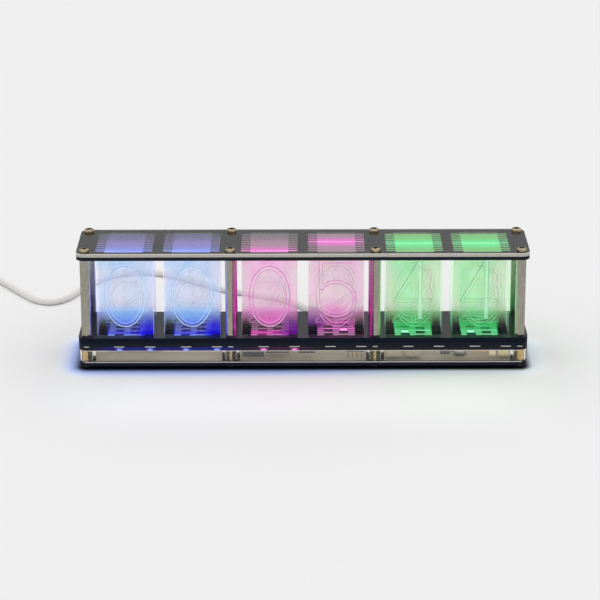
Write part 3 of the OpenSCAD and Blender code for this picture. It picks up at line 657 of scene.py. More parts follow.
def face_finish(name, x_mid, lit, glow):
    """Polished faces: a thin haze on all of them, and coloured light in and near the lit one."""
    f = Finish(name + "_faces", Roughness=0.2, Emission_Strength=1.0)
    x, y, z = f.axes()
    share = SHARES[glow]
    reach = {part: z.fade(*heights) for part, heights in GLOW_Z.items()}
    off = x - x_mid
    across = off * math.copysign(1, light_x(lit))
    away = abs(y - plate_y(lit))
    cloud = f.noise(5, 2, (1, 1, 0.5)) * 0.7 + 0.65
    bars = f.noise(1.2, 2, (0.12, 1, 1)).fade(0.6, 0.42) * 2
    block = abs(off).fade(WINDOW_X - 0.5, WINDOW_X + 1) * reach["block"] * bars * share["block"]
    corner = across.fade(-11, -5) * reach["corner"] * share["corner"]
    half = across.fade(-4, -9) * across.fade(WINDOW_X - 1, WINDOW_X + 2)
    beam = half * reach["beam"] * share["beam"]
    oval = oval_reach(off, z)
    pool = oval.fade(0.95, 1.05) * reach["pool"] * share["pool"]
    ring = oval.fade(1.05, 0.95) * (oval.fade(1.0, 2.2) * 0.6 + reach["ring_top"] * 0.6)
    ring = ring * reach["ring_foot"] * share["ring"]
    foot = abs(z - DECK_TOP - 0.5).fade(0.25, 0.7)
    foot = foot * abs(off).fade(WINDOW_X - 0.3, WINDOW_X + 0.3)
    veil_z = VEIL_Z - lit * VEIL_STEP
    veil = z.fade(veil_z, veil_z - 7) * z.fade(veil_z, veil_z + 4)
    veil = veil * abs(off).fade(15, 16) * VEILS[glow]
    lamps = block + corner + beam + pool + ring + foot * 0.3
    glowing = away.fade(1.1, 4.6) * cloud * (lamps + veil)
    in_window = z.fade(*WINDOW_Z)
    shade = in_window * SHADE
    part = glowing / (glowing + shade + HAZE)
    hue, pale = GLOWS[glow]
    colour = f.tint(reach["deck"], SOFT_HUES[glow], hue)
    colour = f.tint(f.noise(7, 2).fade(0.62, 0.45) * reach["pale"] * 0.45, colour, pale)
    colour = f.tint(corner / (corner + block + pool + beam + 0.02), colour, CORNER_HUES[glow])
    colour = f.tint(veil / (veil + lamps + 0.01), colour, VEIL_HUES[glow])
    haze = f.tint(f.noise(9, 2, (1, 1, 0.5)).fade(0.65, 0.35), *HAZES[glow])
    haze = f.tint(reach["deck"], haze, (0.03, 0.03, 0.035))
    haze = f.tint(shade / (shade + HAZE), haze, (0.02, 0.02, 0.03))
    shine = f.tint(part, f.tint(HAZE_GLOW[glow], BLACK, haze), colour)
    in_hue = window_hue(f, away, f.noise(3.0, 2, (0.3, 1, 1)), glow)
    return f.feed(
        Alpha=glowing + shade + HAZE, Base_Color=f.tint(part, haze, BLACK),
        Emission_Color=f.tint(in_window, shine, in_hue),
    )


print("polished faces:", len(GLOW_Z), "reaches of light")

# %% [markdown]
# Much of the light leaves a plate at its cut edges. The upright ones are bright lines at
# both sides of a stack. The level ones are the stripes in the windows of the top frame,
# and under the deck each one lies on a light package: those that are out show as dark
# dashes, in two staggered columns, and only the lit plate is bright all along. The
# grooves are frosted, so they shine on the lit plate and are faint on the others.

# %% Cut edges and grooves
RAIL_GLOW = 1.5
RAIL_LOW_Z = (16, 17)
DASH = (2.3, 2.8)
STEM_X = 4.0
OWN = (1.05, 1.3)


def edge_finish(name, x_mid, lit, glow):
    """Upright cut edges, where much of the light comes out."""
    f = Finish(
        name + "_edges", Base_Color=(0.5, 0.5, 0.54), Roughness=0.2, Emission_Strength=1.0
    )
    away = abs(f.axes()[1] - plate_y(lit))
    own = away.fade(*OWN)
    streak = f.noise(1.6, 2, (1, 1, 0.04))
    colour = f.tint(streak.fade(0.56, 0.44), *GLOWS[glow])
    bright = away.fade(1.0, 14.0) * 0.35 + 0.35 + own * 0.3
    return f.feed(Alpha=0.42 + own * 0.48, Emission_Color=f.tint(bright, BLACK, colour))


def rail_finish(name, x_mid, lit, glow):
    """Level cut edges: stripes in the top windows, and a dark light under each lower one."""
    f = Finish(
        name + "_rails", Base_Color=(0.03, 0.028, 0.035), Roughness=0.3, Specular_IOR_Level=0.05,
        Emission_Strength=RAIL_GLOW,
    )
    x, y, z = f.axes()
    away = abs(y - plate_y(lit))
    streak = f.noise(3.0, 2, (0.3, 1, 1))
    stray = f.tint(1 / RAIL_GLOW, BLACK, window_hue(f, away, streak, glow))
    lower = z.fade(*RAIL_LOW_Z)
    stray = f.tint(lower * 0.2, stray, GLOWS[glow][1])
    odd = x.math("MODULO", x.math("FLOOR", (y - plate_y(0)) / PLATE_PITCH + 0.5), 2.0)
    dash = abs(x - x_mid - (odd * 2 - 1) * LIGHT_X).fade(*DASH)
    stray = f.tint(lower * dash * 0.95, stray, (0.003, 0.003, 0.008))
    bright = f.tint(streak * 0.7, *GLOWS[glow])
    return f.feed(Alpha=0.92, Emission_Color=f.tint(away.fade(*OWN), stray, bright))


def groove_finish(name, x_mid, lit, glow):
    """Engraved grooves: frosted, bright on the lit plate and faint on the others."""
    f = Finish(
        name + "_grooves", Base_Color=(0.5, 0.5, 0.55), Roughness=0.5, Emission_Strength=1.0
    )
    x, y, z = f.axes()
    own = abs(y - plate_y(lit)).fade(*OWN)
    grit = f.noise(0.4, 1) * 0.5 + 0.5
    stem = abs(x - x_mid - STEM_X).fade(0.3, 0.9) * float(lit == 4)
    hue, pale = GLOWS[glow]
    colour = f.tint(stem, f.tint(z.fade(24, 40), SOFT_HUES[glow], hue), pale)
    return f.feed(
        Alpha=own * (0.09 + stem * 0.6) + 0.02,
        Emission_Color=f.tint(own * grit, BLACK, colour),
    )


print("edges and grooves: ready")

# %% Sort the faces
MERGE = 2e-6
FLAT = 0.7


def whole_faces(mesh, angle):
    """A draft of a solid's copy, with its loose triangles merged into whole faces."""
    shape = bmesh.new()
    shape.from_mesh(mesh)
    bmesh.ops.remove_doubles(shape, verts=shape.verts, dist=MERGE)
    bmesh.ops.dissolve_limit(
        shape, angle_limit=angle, verts=shape.verts, edges=shape.edges, delimit=set()
    )
    return shape


def written(shape, mesh):
    """Writes a draft into a mesh, and lets the draft go."""
    shape.to_mesh(mesh)
    shape.free()
    return mesh


def face_kind(centre, normal, x_mid):
    """0 for a polished face, 1 for an upright edge, 2 for a groove and 3 for a level edge."""
    from_front = (centre.y + PLATE_T / 2 - plate_y(0)) % PLATE_PITCH
    in_digit = abs(centre.x - x_mid) < DIGIT_X and DIGIT_Z[0] < centre.z < DIGIT_Z[1]
    if abs(normal.y) > FLAT:
        return 2 if in_digit and 0.6 * GROOVE_DEPTH < from_front < 1.5 * GROOVE_DEPTH else 0
    if in_digit:
        return 2
    return 3 if abs(normal.z) > FLAT else 1


rims = {}
for name, x_mid, lit, glow in STACKS:
    mesh = nodes[name + "_plates"].data.copy()
    mesh.name = name + "_stack"
    shape = whole_faces(mesh, 0.01)
    for face in shape.faces:
        face.smooth = False
        face.material_index = face_kind(face.calc_center_median() / MM, face.normal, x_mid)
    rims[name] = [
        [vert.co.copy() for vert in edge.verts] for edge in shape.edges
        if sorted(face.material_index for face in edge.link_faces) == [0, 2]
    ]
    mesh.materials.clear()
    for finish in (face_finish, edge_finish, groove_finish, rail_finish):
        mesh.materials.append(finish(name, x_mid, lit, glow).material)
    piece = place_piece(name + "_stack", written(shape, mesh))
    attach(piece, "clock")
    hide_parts(name + "_plates")
    print(name, "stack:", len(mesh.polygons), "faces,", len(rims[name]), "rim edges")

# %% [markdown]
# ## The rims of the engraving
# What the eye reads as a digit is the pair of fine lines where a groove's walls meet the
# face: they catch the light when the plate is lit, and show as hairlines when it isn't.
# The edges between polished faces and grooves were kept above. Here Geometry Nodes turns
# them into curves and sweeps a tiny ring along them, and the result is kept as a mesh.

# %% Sweep tree
def add_socket(tree, label, kind, side="INPUT"):
    return tree.interface.new_socket(label, in_out=side, socket_type="NodeSocket" + kind)


def link(tree, *pairs):
    for output, slot in pairs:
        tree.links.new(output, slot)


def sweep_tree():
    tree = bpy.data.node_groups.new("sweep_along_edges", "GeometryNodeTree")
    for label, kind in (("Edges", "Geometry"), ("Line Radius", "Float"), ("Finish", "Material")):
        add_socket(tree, label, kind)
    add_socket(tree, "Lines", "Geometry", "OUTPUT")
    new = tree.nodes.new
    given, made = new("NodeGroupInput"), new("NodeGroupOutput")
    path, ring = new("GeometryNodeMeshToCurve"), new("GeometryNodeCurvePrimitiveCircle")
    ring.inputs["Resolution"].default_value = 5
    swept, plain = new("GeometryNodeCurveToMesh"), new("GeometryNodeRealizeInstances")
    dressed = new("GeometryNodeSetMaterial")
    link(
        tree, (given.outputs["Edges"], path.inputs["Mesh"]),
        (given.outputs["Line Radius"], ring.inputs["Radius"]),
        (path.outputs["Curve"], swept.inputs["Curve"]),
        (ring.outputs["Curve"], swept.inputs["Profile Curve"]),
        (swept.outputs["Mesh"], plain.inputs["Geometry"]),
        (plain.outputs["Geometry"], dressed.inputs["Geometry"]),
        (given.outputs["Finish"], dressed.inputs["Material"]),
        (dressed.outputs["Geometry"], made.inputs["Lines"]),
    )
    return tree


def grown(name, mesh, tree, **values):
    """Runs a tree on a mesh, with values for its named inputs, and keeps a plain mesh."""
    item = place_piece(name, mesh)
    modifier = item.modifiers.new("grow", "NODES")
    modifier.node_group = tree
    ids = {socket.name: socket.identifier for socket in tree.interface.items_tree}
    for label, value in values.items():
        modifier[ids[label.replace("_", " ")]] = value
    result = settled(item)
    item.modifiers.clear()
    item.data = result
    return item


sweep = sweep_tree()
print("sweep tree:", len(sweep.nodes), "nodes")

# %% Rim lines
LIT_LINE_R = {0: 0.17, 4: 0.25, 5: 0.26}
FAINT_LINE_R = 0.17
LINE_HUES = {"blue": (0.22, 0.46, 0.8), "pink": (0.6, 0.03, 0.42), "green": (0.02, 0.24, 0.08)}


def lit_line(name, x_mid, lit, glow):
    """Bright where it crosses the dark deck, and deeper in colour above."""
    f = Finish(
        name + "_lit_line", Base_Color=(0.05, 0.05, 0.06), Roughness=0.5, Emission_Strength=1.0
    )
    x, _, z = f.axes()
    inner = oval_reach(x - x_mid, z).fade(0.85, 0.95) * float(lit == 0)
    sparkle = f.noise(1.8, 2) * 0.5 + 0.7
    bright = z.fade(26, 36) + (x - x_mid).fade(10, 4) * float(glow == "blue") * 0.7
    return f.feed(
        Alpha=0.85 - inner * 0.45,
        Emission_Color=f.tint(bright * sparkle, LINE_HUES[glow], GLOWS[glow][1]),
    )


def faint_line(name, glow):
    """Hairlines on the plates that are out, with a painted glow in the stack's colour low down,
    where the dark deck is behind them.
    """
    f = Finish(
        name + "_faint_line", Base_Color=(0.3, 0.26, 0.32), Roughness=0.6, Emission_Strength=0.8
    )
    z = f.axes()[2]
    return f.feed(
        Emission_Color=f.tint(z.fade(27, 34), (0.04, 0.04, 0.04), SOFT_HUES[glow]),
        Alpha=f.noise(7, 1) * (0.22 + z.fade(26, 33) * 0.65) + 0.04,
    )


def edge_mesh(name, edges):
    shape = bmesh.new()
    for start, end in edges:
        shape.edges.new((shape.verts.new(start), shape.verts.new(end)))
    bmesh.ops.remove_doubles(shape, verts=shape.verts, dist=MERGE)
    return written(shape, bpy.data.meshes.new(name))


for name, x_mid, lit, glow in STACKS:
    lit_edges = [pair for pair in rims[name] if value_at(pair[0].y) == lit]
    faint_edges = [pair for pair in rims[name] if value_at(pair[0].y) != lit]
    for kind, edges, radius, finish in (
        ("_lit_rim", lit_edges, LIT_LINE_R[lit], lit_line(name, x_mid, lit, glow)),
        ("_faint_rims", faint_edges, FAINT_LINE_R, faint_line(name, glow)),
    ):
        piece = grown(
            name + kind, edge_mesh(name + kind, edges), sweep,
            Line_Radius=radius * MM, Finish=finish.material,
        )
        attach(piece, "clock")
        print(piece.name, len(piece.data.polygons), "faces")

# %% [markdown]
# ## Screws, posts, standoffs and lights
# The same screw sits in eight places on top and eight below, eight posts stand on the
# deck, and sixty lights sit on the board. One pattern of each is enough: a lathe turns a
# profile round its axis, and Geometry Nodes stands the pattern on every point, turned by
# that point's own angle. Six sides on the lathe give a hexagonal bar with turned ends.

# %% Lathe, box and cutter
def lathe(name, profile, sides, start=0.0):
    """A closed body turned from (radius, height) pairs in millimetres, from bottom to top."""
    shape = bmesh.new()
    rings = []
    for radius, level in profile:
        if radius == 0:
            rings.append([shape.verts.new((0, 0, level * MM))])
            continue
        angles = [start + math.tau * k / sides for k in range(sides)]
        rings.append([
            shape.verts.new((radius * MM * math.cos(a), radius * MM * math.sin(a), level * MM))
            for a in angles
        ])
    for low, high in zip(rings, rings[1:]):
        for k in range(sides):
            n = (k + 1) % sides
            around = ((low, k), (low, n), (high, n), (high, k))
            corners = [ring[i % len(ring)] for ring, i in around]
            shape.faces.new(list(dict.fromkeys(corners)))
    bmesh.ops.recalc_face_normals(shape, faces=shape.faces)
    return written(shape, bpy.data.meshes.new(name))


def eased(mesh, angle=30):
    """Smooth shading up to that angle between faces, and crisp edges past it."""
    mesh.polygons.foreach_set("use_smooth", [True] * len(mesh.polygons))
    mesh.set_sharp_from_angle(angle=math.radians(angle))
    return mesh


def tapered_box(top, floor, high, low):
    """A draft of a box whose top and floor are (long, wide), in millimetres."""
    shape = bmesh.new()
    bmesh.ops.create_cube(shape, size=MM)
    for vert in shape.verts:
        upper = vert.co.z > 0
        long, wide = top if upper else floor
        vert.co.x *= long
        vert.co.y *= wide
        vert.co.z = (high if upper else low) * MM
    return shape


def carved(mesh, *cutters):
    """A mesh with other meshes cut out of it."""
    body = place_piece("carved_body", mesh)
    tools = [place_piece("carving_tool", cutter) for cutter in cutters]
    for tool in tools:
        cut = body.modifiers.new("cut", "BOOLEAN")
        cut.object, cut.solver = tool, "EXACT"
    result = settled(body)
    for item in (body, *tools):
        bpy.data.objects.remove(item)
    return result


print("workshop: a lathe, a box and a cutter")

# %% Stand tree
def stand_tree():
    tree = bpy.data.node_groups.new("stand_on_points", "GeometryNodeTree")
    for label, kind in (("Points", "Geometry"), ("Pattern", "Object"), ("Finish", "Material")):
        add_socket(tree, label, kind)
    add_socket(tree, "Row", "Geometry", "OUTPUT")
    new = tree.nodes.new
    given, made = new("NodeGroupInput"), new("NodeGroupOutput")
    pattern, turn = new("GeometryNodeObjectInfo"), new("GeometryNodeInputNamedAttribute")
    pattern.inputs["As Instance"].default_value = True
    turn.data_type = "FLOAT"
    turn.inputs["Name"].default_value = "turn"
    about_z, spin = new("ShaderNodeCombineXYZ"), new("FunctionNodeEulerToRotation")
    row, plain = new("GeometryNodeInstanceOnPoints"), new("GeometryNodeRealizeInstances")
    dressed = new("GeometryNodeSetMaterial")
    link(
        tree, (given.outputs["Points"], row.inputs["Points"]),
        (given.outputs["Pattern"], pattern.inputs["Object"]),
        (pattern.outputs["Geometry"], row.inputs["Instance"]),
        (turn.outputs["Attribute"], about_z.inputs["Z"]),
        (about_z.outputs["Vector"], spin.inputs["Euler"]),
        (spin.outputs["Rotation"], row.inputs["Rotation"]),
        (row.outputs["Instances"], plain.inputs["Geometry"]),
        (plain.outputs["Geometry"], dressed.inputs["Geometry"]),
        (given.outputs["Finish"], dressed.inputs["Material"]),
        (dressed.outputs["Geometry"], made.inputs["Row"]),
    )
    return tree


def stood(name, pattern, places, finish, replaced=(), angle=30):
    """Stands a pattern mesh on places, which are (x, y, z, turn) in millimetres and radians."""
    points = bpy.data.meshes.new(name)
    points.from_pydata([Vector(place[:3]) * MM for place in places], [], [])
    turn = points.attributes.new("turn", "FLOAT", "POINT")
    turn.data.foreach_set("value", [place[3] for place in places])
    model = place_piece("pattern", pattern)
    piece = grown(name, points, stand, Pattern=model, Finish=finish.material)
    bpy.data.objects.remove(model)
    eased(piece.data, angle)
    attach(piece, "clock")
    if replaced:
        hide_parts(*replaced)
    print(name, len(places), "places,", len(piece.data.polygons), "faces")
    return piece


stand = stand_tree()
print("stand tree:", len(stand.nodes), "nodes")

# %% [markdown]
# A pan screw is a turned head with a cross pressed into it. Two tapered wings are cut out
# of the head by Boolean modifiers, because a cross that is only painted looks flat from
# the side. Every screw stops at an angle of its own when it is tight.

# %% Screws
SCREW_X = (-120, -40, 40, 120)
SCREW_Y = (-ROW_Y, ROW_Y)
TOP_SHANK = 8
BOTTOM_SHANK = 4.5
TOP_Z = 67.4
BOTTOM_Z = 2.0
HEAD_R = 2.8
HEAD_H = 2.0
SHANK_R = 1.45
HEAD_SIDES = 40
WING_TOP = (4.4, 1.4)
WING_FLOOR = (2.4, 1.0)
RECESS_DEPTH = 1.5


def recess_wing(turn):
    """One tapered wing of the cross recess."""
    shape = tapered_box(WING_TOP, WING_FLOOR, HEAD_H + 0.4, HEAD_H - RECESS_DEPTH)
    bmesh.ops.rotate(shape, verts=shape.verts, matrix=Quaternion((0, 0, 1), turn).to_matrix())
    return written(shape, bpy.data.meshes.new("recess_wing"))


def pan_screw(shank, upside_down=False):
    """A domed head with a cross recess, on a plain shank below z 0."""
    profile = [
        (0, -shank), (SHANK_R - 0.3, -shank), (SHANK_R, 0.4 - shank), (SHANK_R, 0),
        (HEAD_R - 0.06, 0), (HEAD_R, 0.08), (HEAD_R, 0.95), (2.74, 1.25), (2.58, 1.58),
        (2.3, 1.84), (1.95, 1.97), (1.2, HEAD_H), (0, HEAD_H),
    ]
    turned = lathe("pan_screw", profile, HEAD_SIDES)
    mesh = carved(turned, recess_wing(0), recess_wing(math.pi / 2))
    if upside_down:
        mesh.transform(Quaternion((1, 0, 0), math.pi).to_matrix().to_4x4())
    return mesh


HEAD_TURNS = (0.3, 1.1, 0.7, 0.2, 1.3, 0.5, 0.9, 0.05)
screw_places = [(x, y) for x in SCREW_X for y in SCREW_Y]
for side, screw, level in (
    ("top", pan_screw(TOP_SHANK), TOP_Z),
    ("bottom", pan_screw(BOTTOM_SHANK, True), BOTTOM_Z),
):
    stood(
        side + "_screw_row", screw,
        [(x, y, level, turn) for (x, y), turn in zip(screw_places, HEAD_TURNS)],
        screw_steel, (side + "_screws",),
    )

# %% [markdown]
# Posts and standoffs are cut from the same hexagonal bar, nickel-plated or plain brass,
# so one function makes both. A post stops where its thread is tight: each pair shows its
# corners at another angle.

# %% Posts and standoffs
POST_H = 45
POST_R = 5 / math.sqrt(3)
POST_TURNS = (-5, 20, -20, 4)
HEX = 6
CORNER = math.radians(30)
FLAT_ANGLE = 20
STANDOFF_Z = 4.0
STANDOFF_H = 7.2
STANDOFF_TURN = 0.2


def hex_bar(name, tall, inset, ease):
    """A hexagonal bar whose ends are turned to a small chamfer."""
    profile = [
        (0, 0), (POST_R - inset, 0), (POST_R, ease), (POST_R, tall - ease),
        (POST_R - inset, tall), (0, tall),
    ]
    return lathe(name, profile, HEX, CORNER)


turned_posts = [(x, math.radians(turn)) for x, turn in zip(SCREW_X, POST_TURNS)]
stood(
    "hex_post_row", hex_bar("hex_post", POST_H, 0.5, 0.25),
    [(x, y, DECK_TOP, turn) for x, turn in turned_posts for y in SCREW_Y],
    nickel, ("hex_posts",), FLAT_ANGLE,
)
stood(
    "brass_standoff_row", hex_bar("brass_standoff", STANDOFF_H, 0.4, 0.3),
    [(x, y, STANDOFF_Z, STANDOFF_TURN) for x, y in screw_places],
    brass, ("brass_standoffs",), FLAT_ANGLE,
)

# %% [markdown]
# Each light is a square black package with a round well, and clear resin fills the well
# to a lens. One sits under every plate, in two staggered columns to each stack. The lenses
# are sorted by what they show: most are out, and those of the lit plates glow.

# %% Lights
MASK_Z = 13.2
LED_SIDE = 5.0
LED_H = 1.6
LED_BEVEL = 0.18
LENS_R = 2.0
LENS_DEPTH = 0.4
LENS_SIDES = 24
WELL_SIDES = 28
LENS_GLOW = 3.0


def light_package():
    """A square body with small bevels and a round well for the lens."""
    square = (LED_SIDE, LED_SIDE)
    shape = tapered_box(square, square, LED_H, 0)
    bmesh.ops.bevel(
        shape, geom=shape.edges[:], offset=LED_BEVEL * MM, segments=2, affect="EDGES", profile=0.5
    )
    mesh = written(shape, bpy.data.meshes.new("light_package"))
    floor, rim = LED_H - LENS_DEPTH, LED_H + 0.1
    well = [(0, floor), (LENS_R - 0.3, floor), (LENS_R, rim), (0, rim)]
    return carved(mesh, lathe("well", well, WELL_SIDES))


lens_profile = [
    (0, LED_H - LENS_DEPTH), (LENS_R - 0.32, LED_H - LENS_DEPTH), (LENS_R - 0.08, LED_H - 0.06),
    (1.2, LED_H - 0.02), (0, LED_H),
]
lights, dark_lenses = [], []
lit_lenses = {glow: [] for glow in GLOWS}
for _, x_mid, lit, glow in STACKS:
    for value in range(PLATE_COUNT):
        place = (x_mid + light_x(value), plate_y(value), MASK_Z, 0.0)
        lights.append(place)
        (lit_lenses[glow] if value == lit else dark_lenses).append(place)
stood(
    "light_package_row", light_package(), lights, chip_black, ("led_packages",)
)
resin = plastic("lens_resin", (0.06, 0.058, 0.05), (0.03, 0.03, 0.026), 0.2)
dark_lens = lathe("lens", lens_profile, LENS_SIDES)
stood("dark_lens_row", dark_lens, dark_lenses, resin)
for glow, (hue, pale) in GLOWS.items():
    shine = Finish(glow + "_lens", Base_Color=pale, Roughness=0.3, Emission_Strength=LENS_GLOW)
    shine.feed(Emission_Color=shine.tint(shine.noise(1.2, 1), hue, pale))
    lens = lathe("lens", lens_profile, LENS_SIDES)
    stood(glow + "_lit_lenses", lens, lit_lenses[glow], shine)

# %% [markdown]
# ## The circuit board
# The board is the third dark layer. Its top is white under the light windows, so that it
# throws light up into the plates, and a glow in its stack's colour is painted on each
# white patch, for the light of the packages on it. Tinned pads come out along its front
# edge. Where the front plate of a stack is lit, some of that light leaks out along the
# edge below the pads, as painted light. One finish paints all of this by place, because
# the board is one piece.

# %% Board
PAD_OFFSETS = (-3.3, 13.8)
FRONT_EDGE_Y = -22.3
BOARD_TOP = (13.1, 13.0)
LEAK_Z = (11.9, 12.7)
LEAK_WASH = {"blue": 0.12, "pink": 0.03}
PATCH_GLOW = {"blue": 0.45, "pink": 0.14, "green": 0.4}


def board_finish():
    f = Finish("board", Specular_IOR_Level=0.1, Emission_Strength=1.0)
    x, y, z = f.axes()
    windows = [abs(x - x_mid).fade(WINDOW_X + 0.4, WINDOW_X + 0.6) for _, x_mid, _, _ in STACKS]
    white = sum(windows) * abs(y).fade(CAVITY[1] - 0.1, CAVITY[1] + 0.1) * z.fade(*BOARD_TOP)
    grit = f.noise(0.6, 2)
    glow = BLACK
    # A painted glow in each stack's colour on the white under its window.
    for window, (_, _, _, own) in zip(windows, STACKS):
        patch = f.tint(grit * 0.7, GLOWS[own][0], SOFT_HUES[own])
        glow = f.tint(white * window * PATCH_GLOW[own], glow, patch)
    edge = y.fade(FRONT_EDGE_Y - 0.1, FRONT_EDGE_Y)
    for own, amount in LEAK_WASH.items():
        middles = [x_mid for _, x_mid, lit, its in STACKS if its == own and lit == 0]
        leaks = [x_mid + pad for x_mid in middles for pad in PAD_OFFSETS]
        spots = sum(abs(x - leak).fade(0.4, 2.6) for leak in leaks)
        wash = sum(abs(x - leak).fade(4, 16) for leak in leaks) * amount
        leaking = (spots * z.fade(*LEAK_Z) + wash) * edge
        glow = f.tint(leaking, glow, f.tint(spots * 0.4, *GLOWS[own]))
    mask = f.tint(grit, (0.010, 0.012, 0.018), (0.02, 0.022, 0.03))
    return f.feed(
        Base_Color=f.tint(white, mask, (0.12, 0.12, 0.115)),
        Roughness=0.28 + grit * 0.14, Emission_Color=glow,
    )


wear([nodes["led_board"]], board_finish())
wear([nodes["edge_pads"]], tin)
print("board: light leaks from", " and ".join(LEAK_WASH), "stacks")

# %% [markdown]
# ## Parts under the board, the rear and the plugs
# These are moulded or pressed, so none of their edges is sharp. Each solid is copied, its
# triangles are merged into whole faces, and a small bevel rounds what is sharper than
# forty degrees. The bevel is what catches a thin line of light on a real part.

# %% Rounded copies of the solids
SHARP = math.radians(40)
BEVEL_SEGMENTS = 2


def formed(node, finish, bevel, body="clock"):
    """A copy of a solid with whole faces and rounded edges, in the solid's place."""
    mesh = nodes[node].data.copy()
    piece = place_piece(node + "_formed", written(whole_faces(mesh, 0.02), mesh))
    rounding = piece.modifiers.new("rounding", "BEVEL")
    rounding.width = bevel * MM
    rounding.segments = BEVEL_SEGMENTS
    rounding.limit_method = "ANGLE"
    rounding.angle_limit = SHARP
    result = settled(piece)
    piece.modifiers.clear()
    piece.data = eased(result)
    wear([piece], finish)
    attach(piece, body)
    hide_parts(node)
    return piece


FORMED = [
    ("pin_strip", chip_black, 0.1),
    ("power_capacitor", can_black, 0.12),
    ("cell_holder", chip_black, 0.15),
    ("backup_cell", bright_metal, 0.2),
    ("clock_chip", chip_black, 0.08),
    ("voltage_regulator", bright_metal, 0.12),
    ("controller_chip", chip_black, 0.08),
    ("pin_header", chip_black, 0.1),
    ("header_pins", brass, 0.06),
    ("wire_connectors", ivory_nylon, 0.12),
    ("inductor", can_black, 0.25),
    ("crystal", bright_metal, 0.2),
    ("tantalum_capacitor", brown_epoxy, 0.2),
    ("film_capacitor", cream_plastic, 0.4),
    ("trimmer", cream_plastic, 0.1),
    ("power_socket", bright_metal, 0.06),
    ("switch_bodies", chip_black, 0.15),
    ("plug_tip", bright_metal, 0.1),
    ("plug_body", white_vinyl, 0.8),
    ("far_plug_body", white_vinyl, 0.7),
    ("far_plug_shell", bright_metal, 0.08),
    ("cord_tie", tie_fabric, 0.2),
]
parts = {node: formed(node, finish, bevel) for node, finish, bevel in FORMED}
for button in ("mode_button", "up_button", "down_button"):
    parts[button] = formed(button, button_black, 0.12, button)
print("formed parts:", len(parts))

# %% [markdown]
# The sleeve where the cord leaves its plug has rings cut into it, so that it bends evenly.
# It is round and tapers by one rule, so a loop works out its outline and the lathe turns
# it. It is then laid along Y.

# %% Strain relief
RELIEF_FROM = 37.2
RELIEF_L = 6.8
RELIEF_R = (3.2, 2.2)
RIBS = 5
RELIEF_SIDES = 32
RIB_STEPS = ((0.0, 0.12), (0.08, 0.0), (0.6, 0.0), (0.68, 0.5), (0.92, 0.5))


def ribbed_relief():
    """A tapered sleeve with rings cut into it, lying along Y."""
    profile = [(0, 0)]
    pitch = RELIEF_L / RIBS
    for rib in range(RIBS):
        for share, depth in RIB_STEPS:
            level = (rib + share) * pitch
            radius = RELIEF_R[0] + (RELIEF_R[1] - RELIEF_R[0]) * level / RELIEF_L
            profile.append((radius - depth * (0.3 if rib == RIBS - 1 else 1), level))
    profile += [(RELIEF_R[1], RELIEF_L - 0.05), (RELIEF_R[1] - 0.1, RELIEF_L), (0, RELIEF_L)]
    mesh = lathe("strain_relief_formed", profile, RELIEF_SIDES)
    mesh.transform(Quaternion((1, 0, 0), -math.pi / 2).to_matrix().to_4x4())
    mesh.transform(Matrix.Translation(Vector((EXIT.x, RELIEF_FROM, EXIT.z)) * MM))
    return eased(mesh)


relief = place_piece("strain_relief_formed", ribbed_relief())
wear([relief], white_vinyl)
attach(relief, "clock")
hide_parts("strain_relief")
print("strain relief:", RIBS, "ribs")

# %% [markdown]
# ## Floor, light and air
# The table is bare and pale, with no horizon, and the light comes very soft from above. A
# large floor and a sky that is bright overhead and dim near the horizon give just that:
# the dim part is what the glossy black sheets mirror, so they stay dark. A contact shadow
# is painted dark on the floor close under the clock, with a darker band of painted shade
# along its outline, and the blue light that leaks out of the base is painted on it in
# front. All are painted by the distance from the clock's rounded outline, and a weak
# white glow in front lifts the shade that the clock itself would throw there.

# %% Floor
REACH = 6.0
floor_mesh = bpy.data.meshes.new("floor")
corners = [(-REACH, -REACH, 0), (REACH, -REACH, 0), (REACH, REACH, 0), (-REACH, REACH, 0)]
floor_mesh.from_pydata(corners, [], [(0, 1, 2, 3)])
floor = place_piece("floor", floor_mesh)
SHEET = (124.5, 22.5)
CORNER_R = 4.5
BLUE_X = (-20, 90)


def floor_paper():
    """Pale floor with a painted contact shadow under the clock, and the painted light that leaks
    from the base in front.
    """
    f = Finish("floor_paper", Roughness=0.6, Specular_IOR_Level=0.2, Emission_Strength=1.0)
    x, y, _ = f.axes()
    past_x = x.math("MAXIMUM", abs(x) - SHEET[0] + CORNER_R, 0.0)
    past_y = x.math("MAXIMUM", abs(y) - SHEET[1] + CORNER_R, 0.0)
    away = x.math("SQRT", past_x * past_x + past_y * past_y) - CORNER_R
    # Painted contact shadow: dark under the clock and just past its outline.
    under = away.fade(-0.8, 4.2)
    to_left = x.fade(*BLUE_X)
    strong = 0.12 + to_left * 0.75
    grain = f.noise(2.5, 2)
    plain = f.tint(grain, (0.85, 0.85, 0.85), (0.87, 0.87, 0.87))
    leak = f.tint(away.fade(2, 12) * strong, plain, (0.5, 0.58, 0.87))
    # A darker band of painted shade close to the outline, where the leak is strong.
    leak = f.tint(away.fade(2, 7.5) * strong * 0.5, leak, (0.16, 0.2, 0.34))
    spill = f.tint(to_left, (0.05, 0.11, 0.12), (0.01, 0.05, 0.2))
    front = y.fade(-10, 25) * abs(x).fade(80, 150)
    spill = f.tint(away.fade(5, 18), f.tint(front, BLACK, (0.14, 0.14, 0.14)), spill)
    return f.feed(
        Base_Color=f.tint(under, leak, (0.008, 0.011, 0.02)),
        Emission_Color=f.tint(away.fade(25, 110) * (1 - under), BLACK, spill),
    )


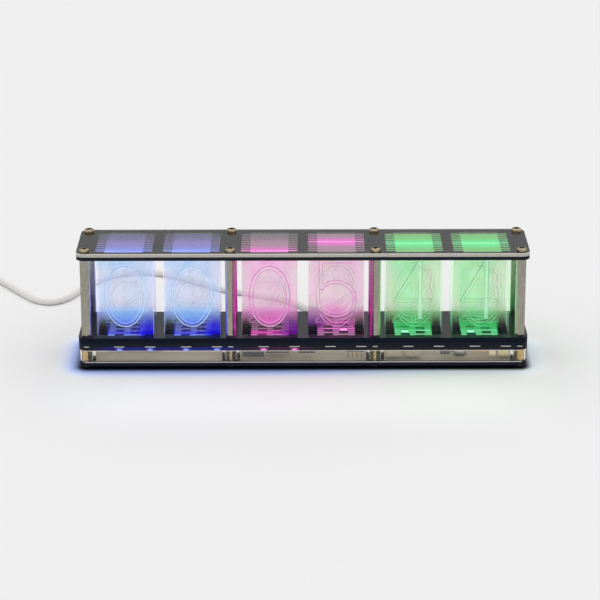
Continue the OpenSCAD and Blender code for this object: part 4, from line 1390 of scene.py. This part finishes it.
wear([floor], floor_paper())
print("floor:", 2 * REACH, "m across")

# %% Sky
SKY_LOW = 0.508
SKY_RISE = 0.67
world = bpy.data.worlds.new("studio")
world.use_nodes = True
scene.world = world
sky = world.node_tree
direction = add_node(sky, "TexCoord", out="Generated")
height = add_node(sky, "SeparateXYZ", None, {0: direction}, "Z")
join(sky.nodes["Background"].inputs["Strength"], SKY_LOW + height.fade(0.7, 0.25) * SKY_RISE)
join(sky.nodes["Background"].inputs["Color"], (1.0, 1.0, 1.0))
print("sky: strength", SKY_LOW, "at the horizon and", SKY_LOW + SKY_RISE, "overhead")

# %% [markdown]
# Daylight falls into the clear base through its walls. The walls bend it, which is slow to
# work out, so a broad lamp under the board and a thin one behind the front wall
# stand for it. The camera sees neither.

# %% Light in the base
BASE_LAMPS = [
    ("base_daylight", 236, 35, 0.0125, (0, 0, 11.1), 0),
    ("base_front_light", 236, 5, 0.004, (0, -18.3, 7.6), 80),
]
for label, across, tall, energy, place, tip in BASE_LAMPS:
    lamp = bpy.data.lights.new(label, "AREA")
    lamp.shape = "RECTANGLE"
    lamp.size, lamp.size_y = across * MM, tall * MM
    lamp.color, lamp.energy = (1.0, 0.97, 0.92), energy
    daylight = place_piece(label, lamp)
    daylight.location = Vector(place) * MM
    daylight.rotation_euler = (math.radians(tip), 0, 0)
    daylight.visible_camera = daylight.visible_glossy = daylight.visible_transmission = False
print("base lamps:", len(BASE_LAMPS))

# %% [markdown]
# A ray of sight crosses more see-through faces than the usual limits allow, so they are
# raised, and the plain view transform keeps the pale table's tone.

# %% Limits of light
scene.view_settings.view_transform = "Standard"
scene.cycles.transparent_max_bounces = 96
scene.cycles.max_bounces = 24
scene.cycles.transmission_bounces = 24
print("see-through faces in a row: up to", scene.cycles.transparent_max_bounces)

# %% [markdown]
# ## The cord's length
# The cord's real length, worked out from its points above, is printed last.

# %% Cord length
print("handed over:", round(cord_length, 3), "m of cord and both boxes")
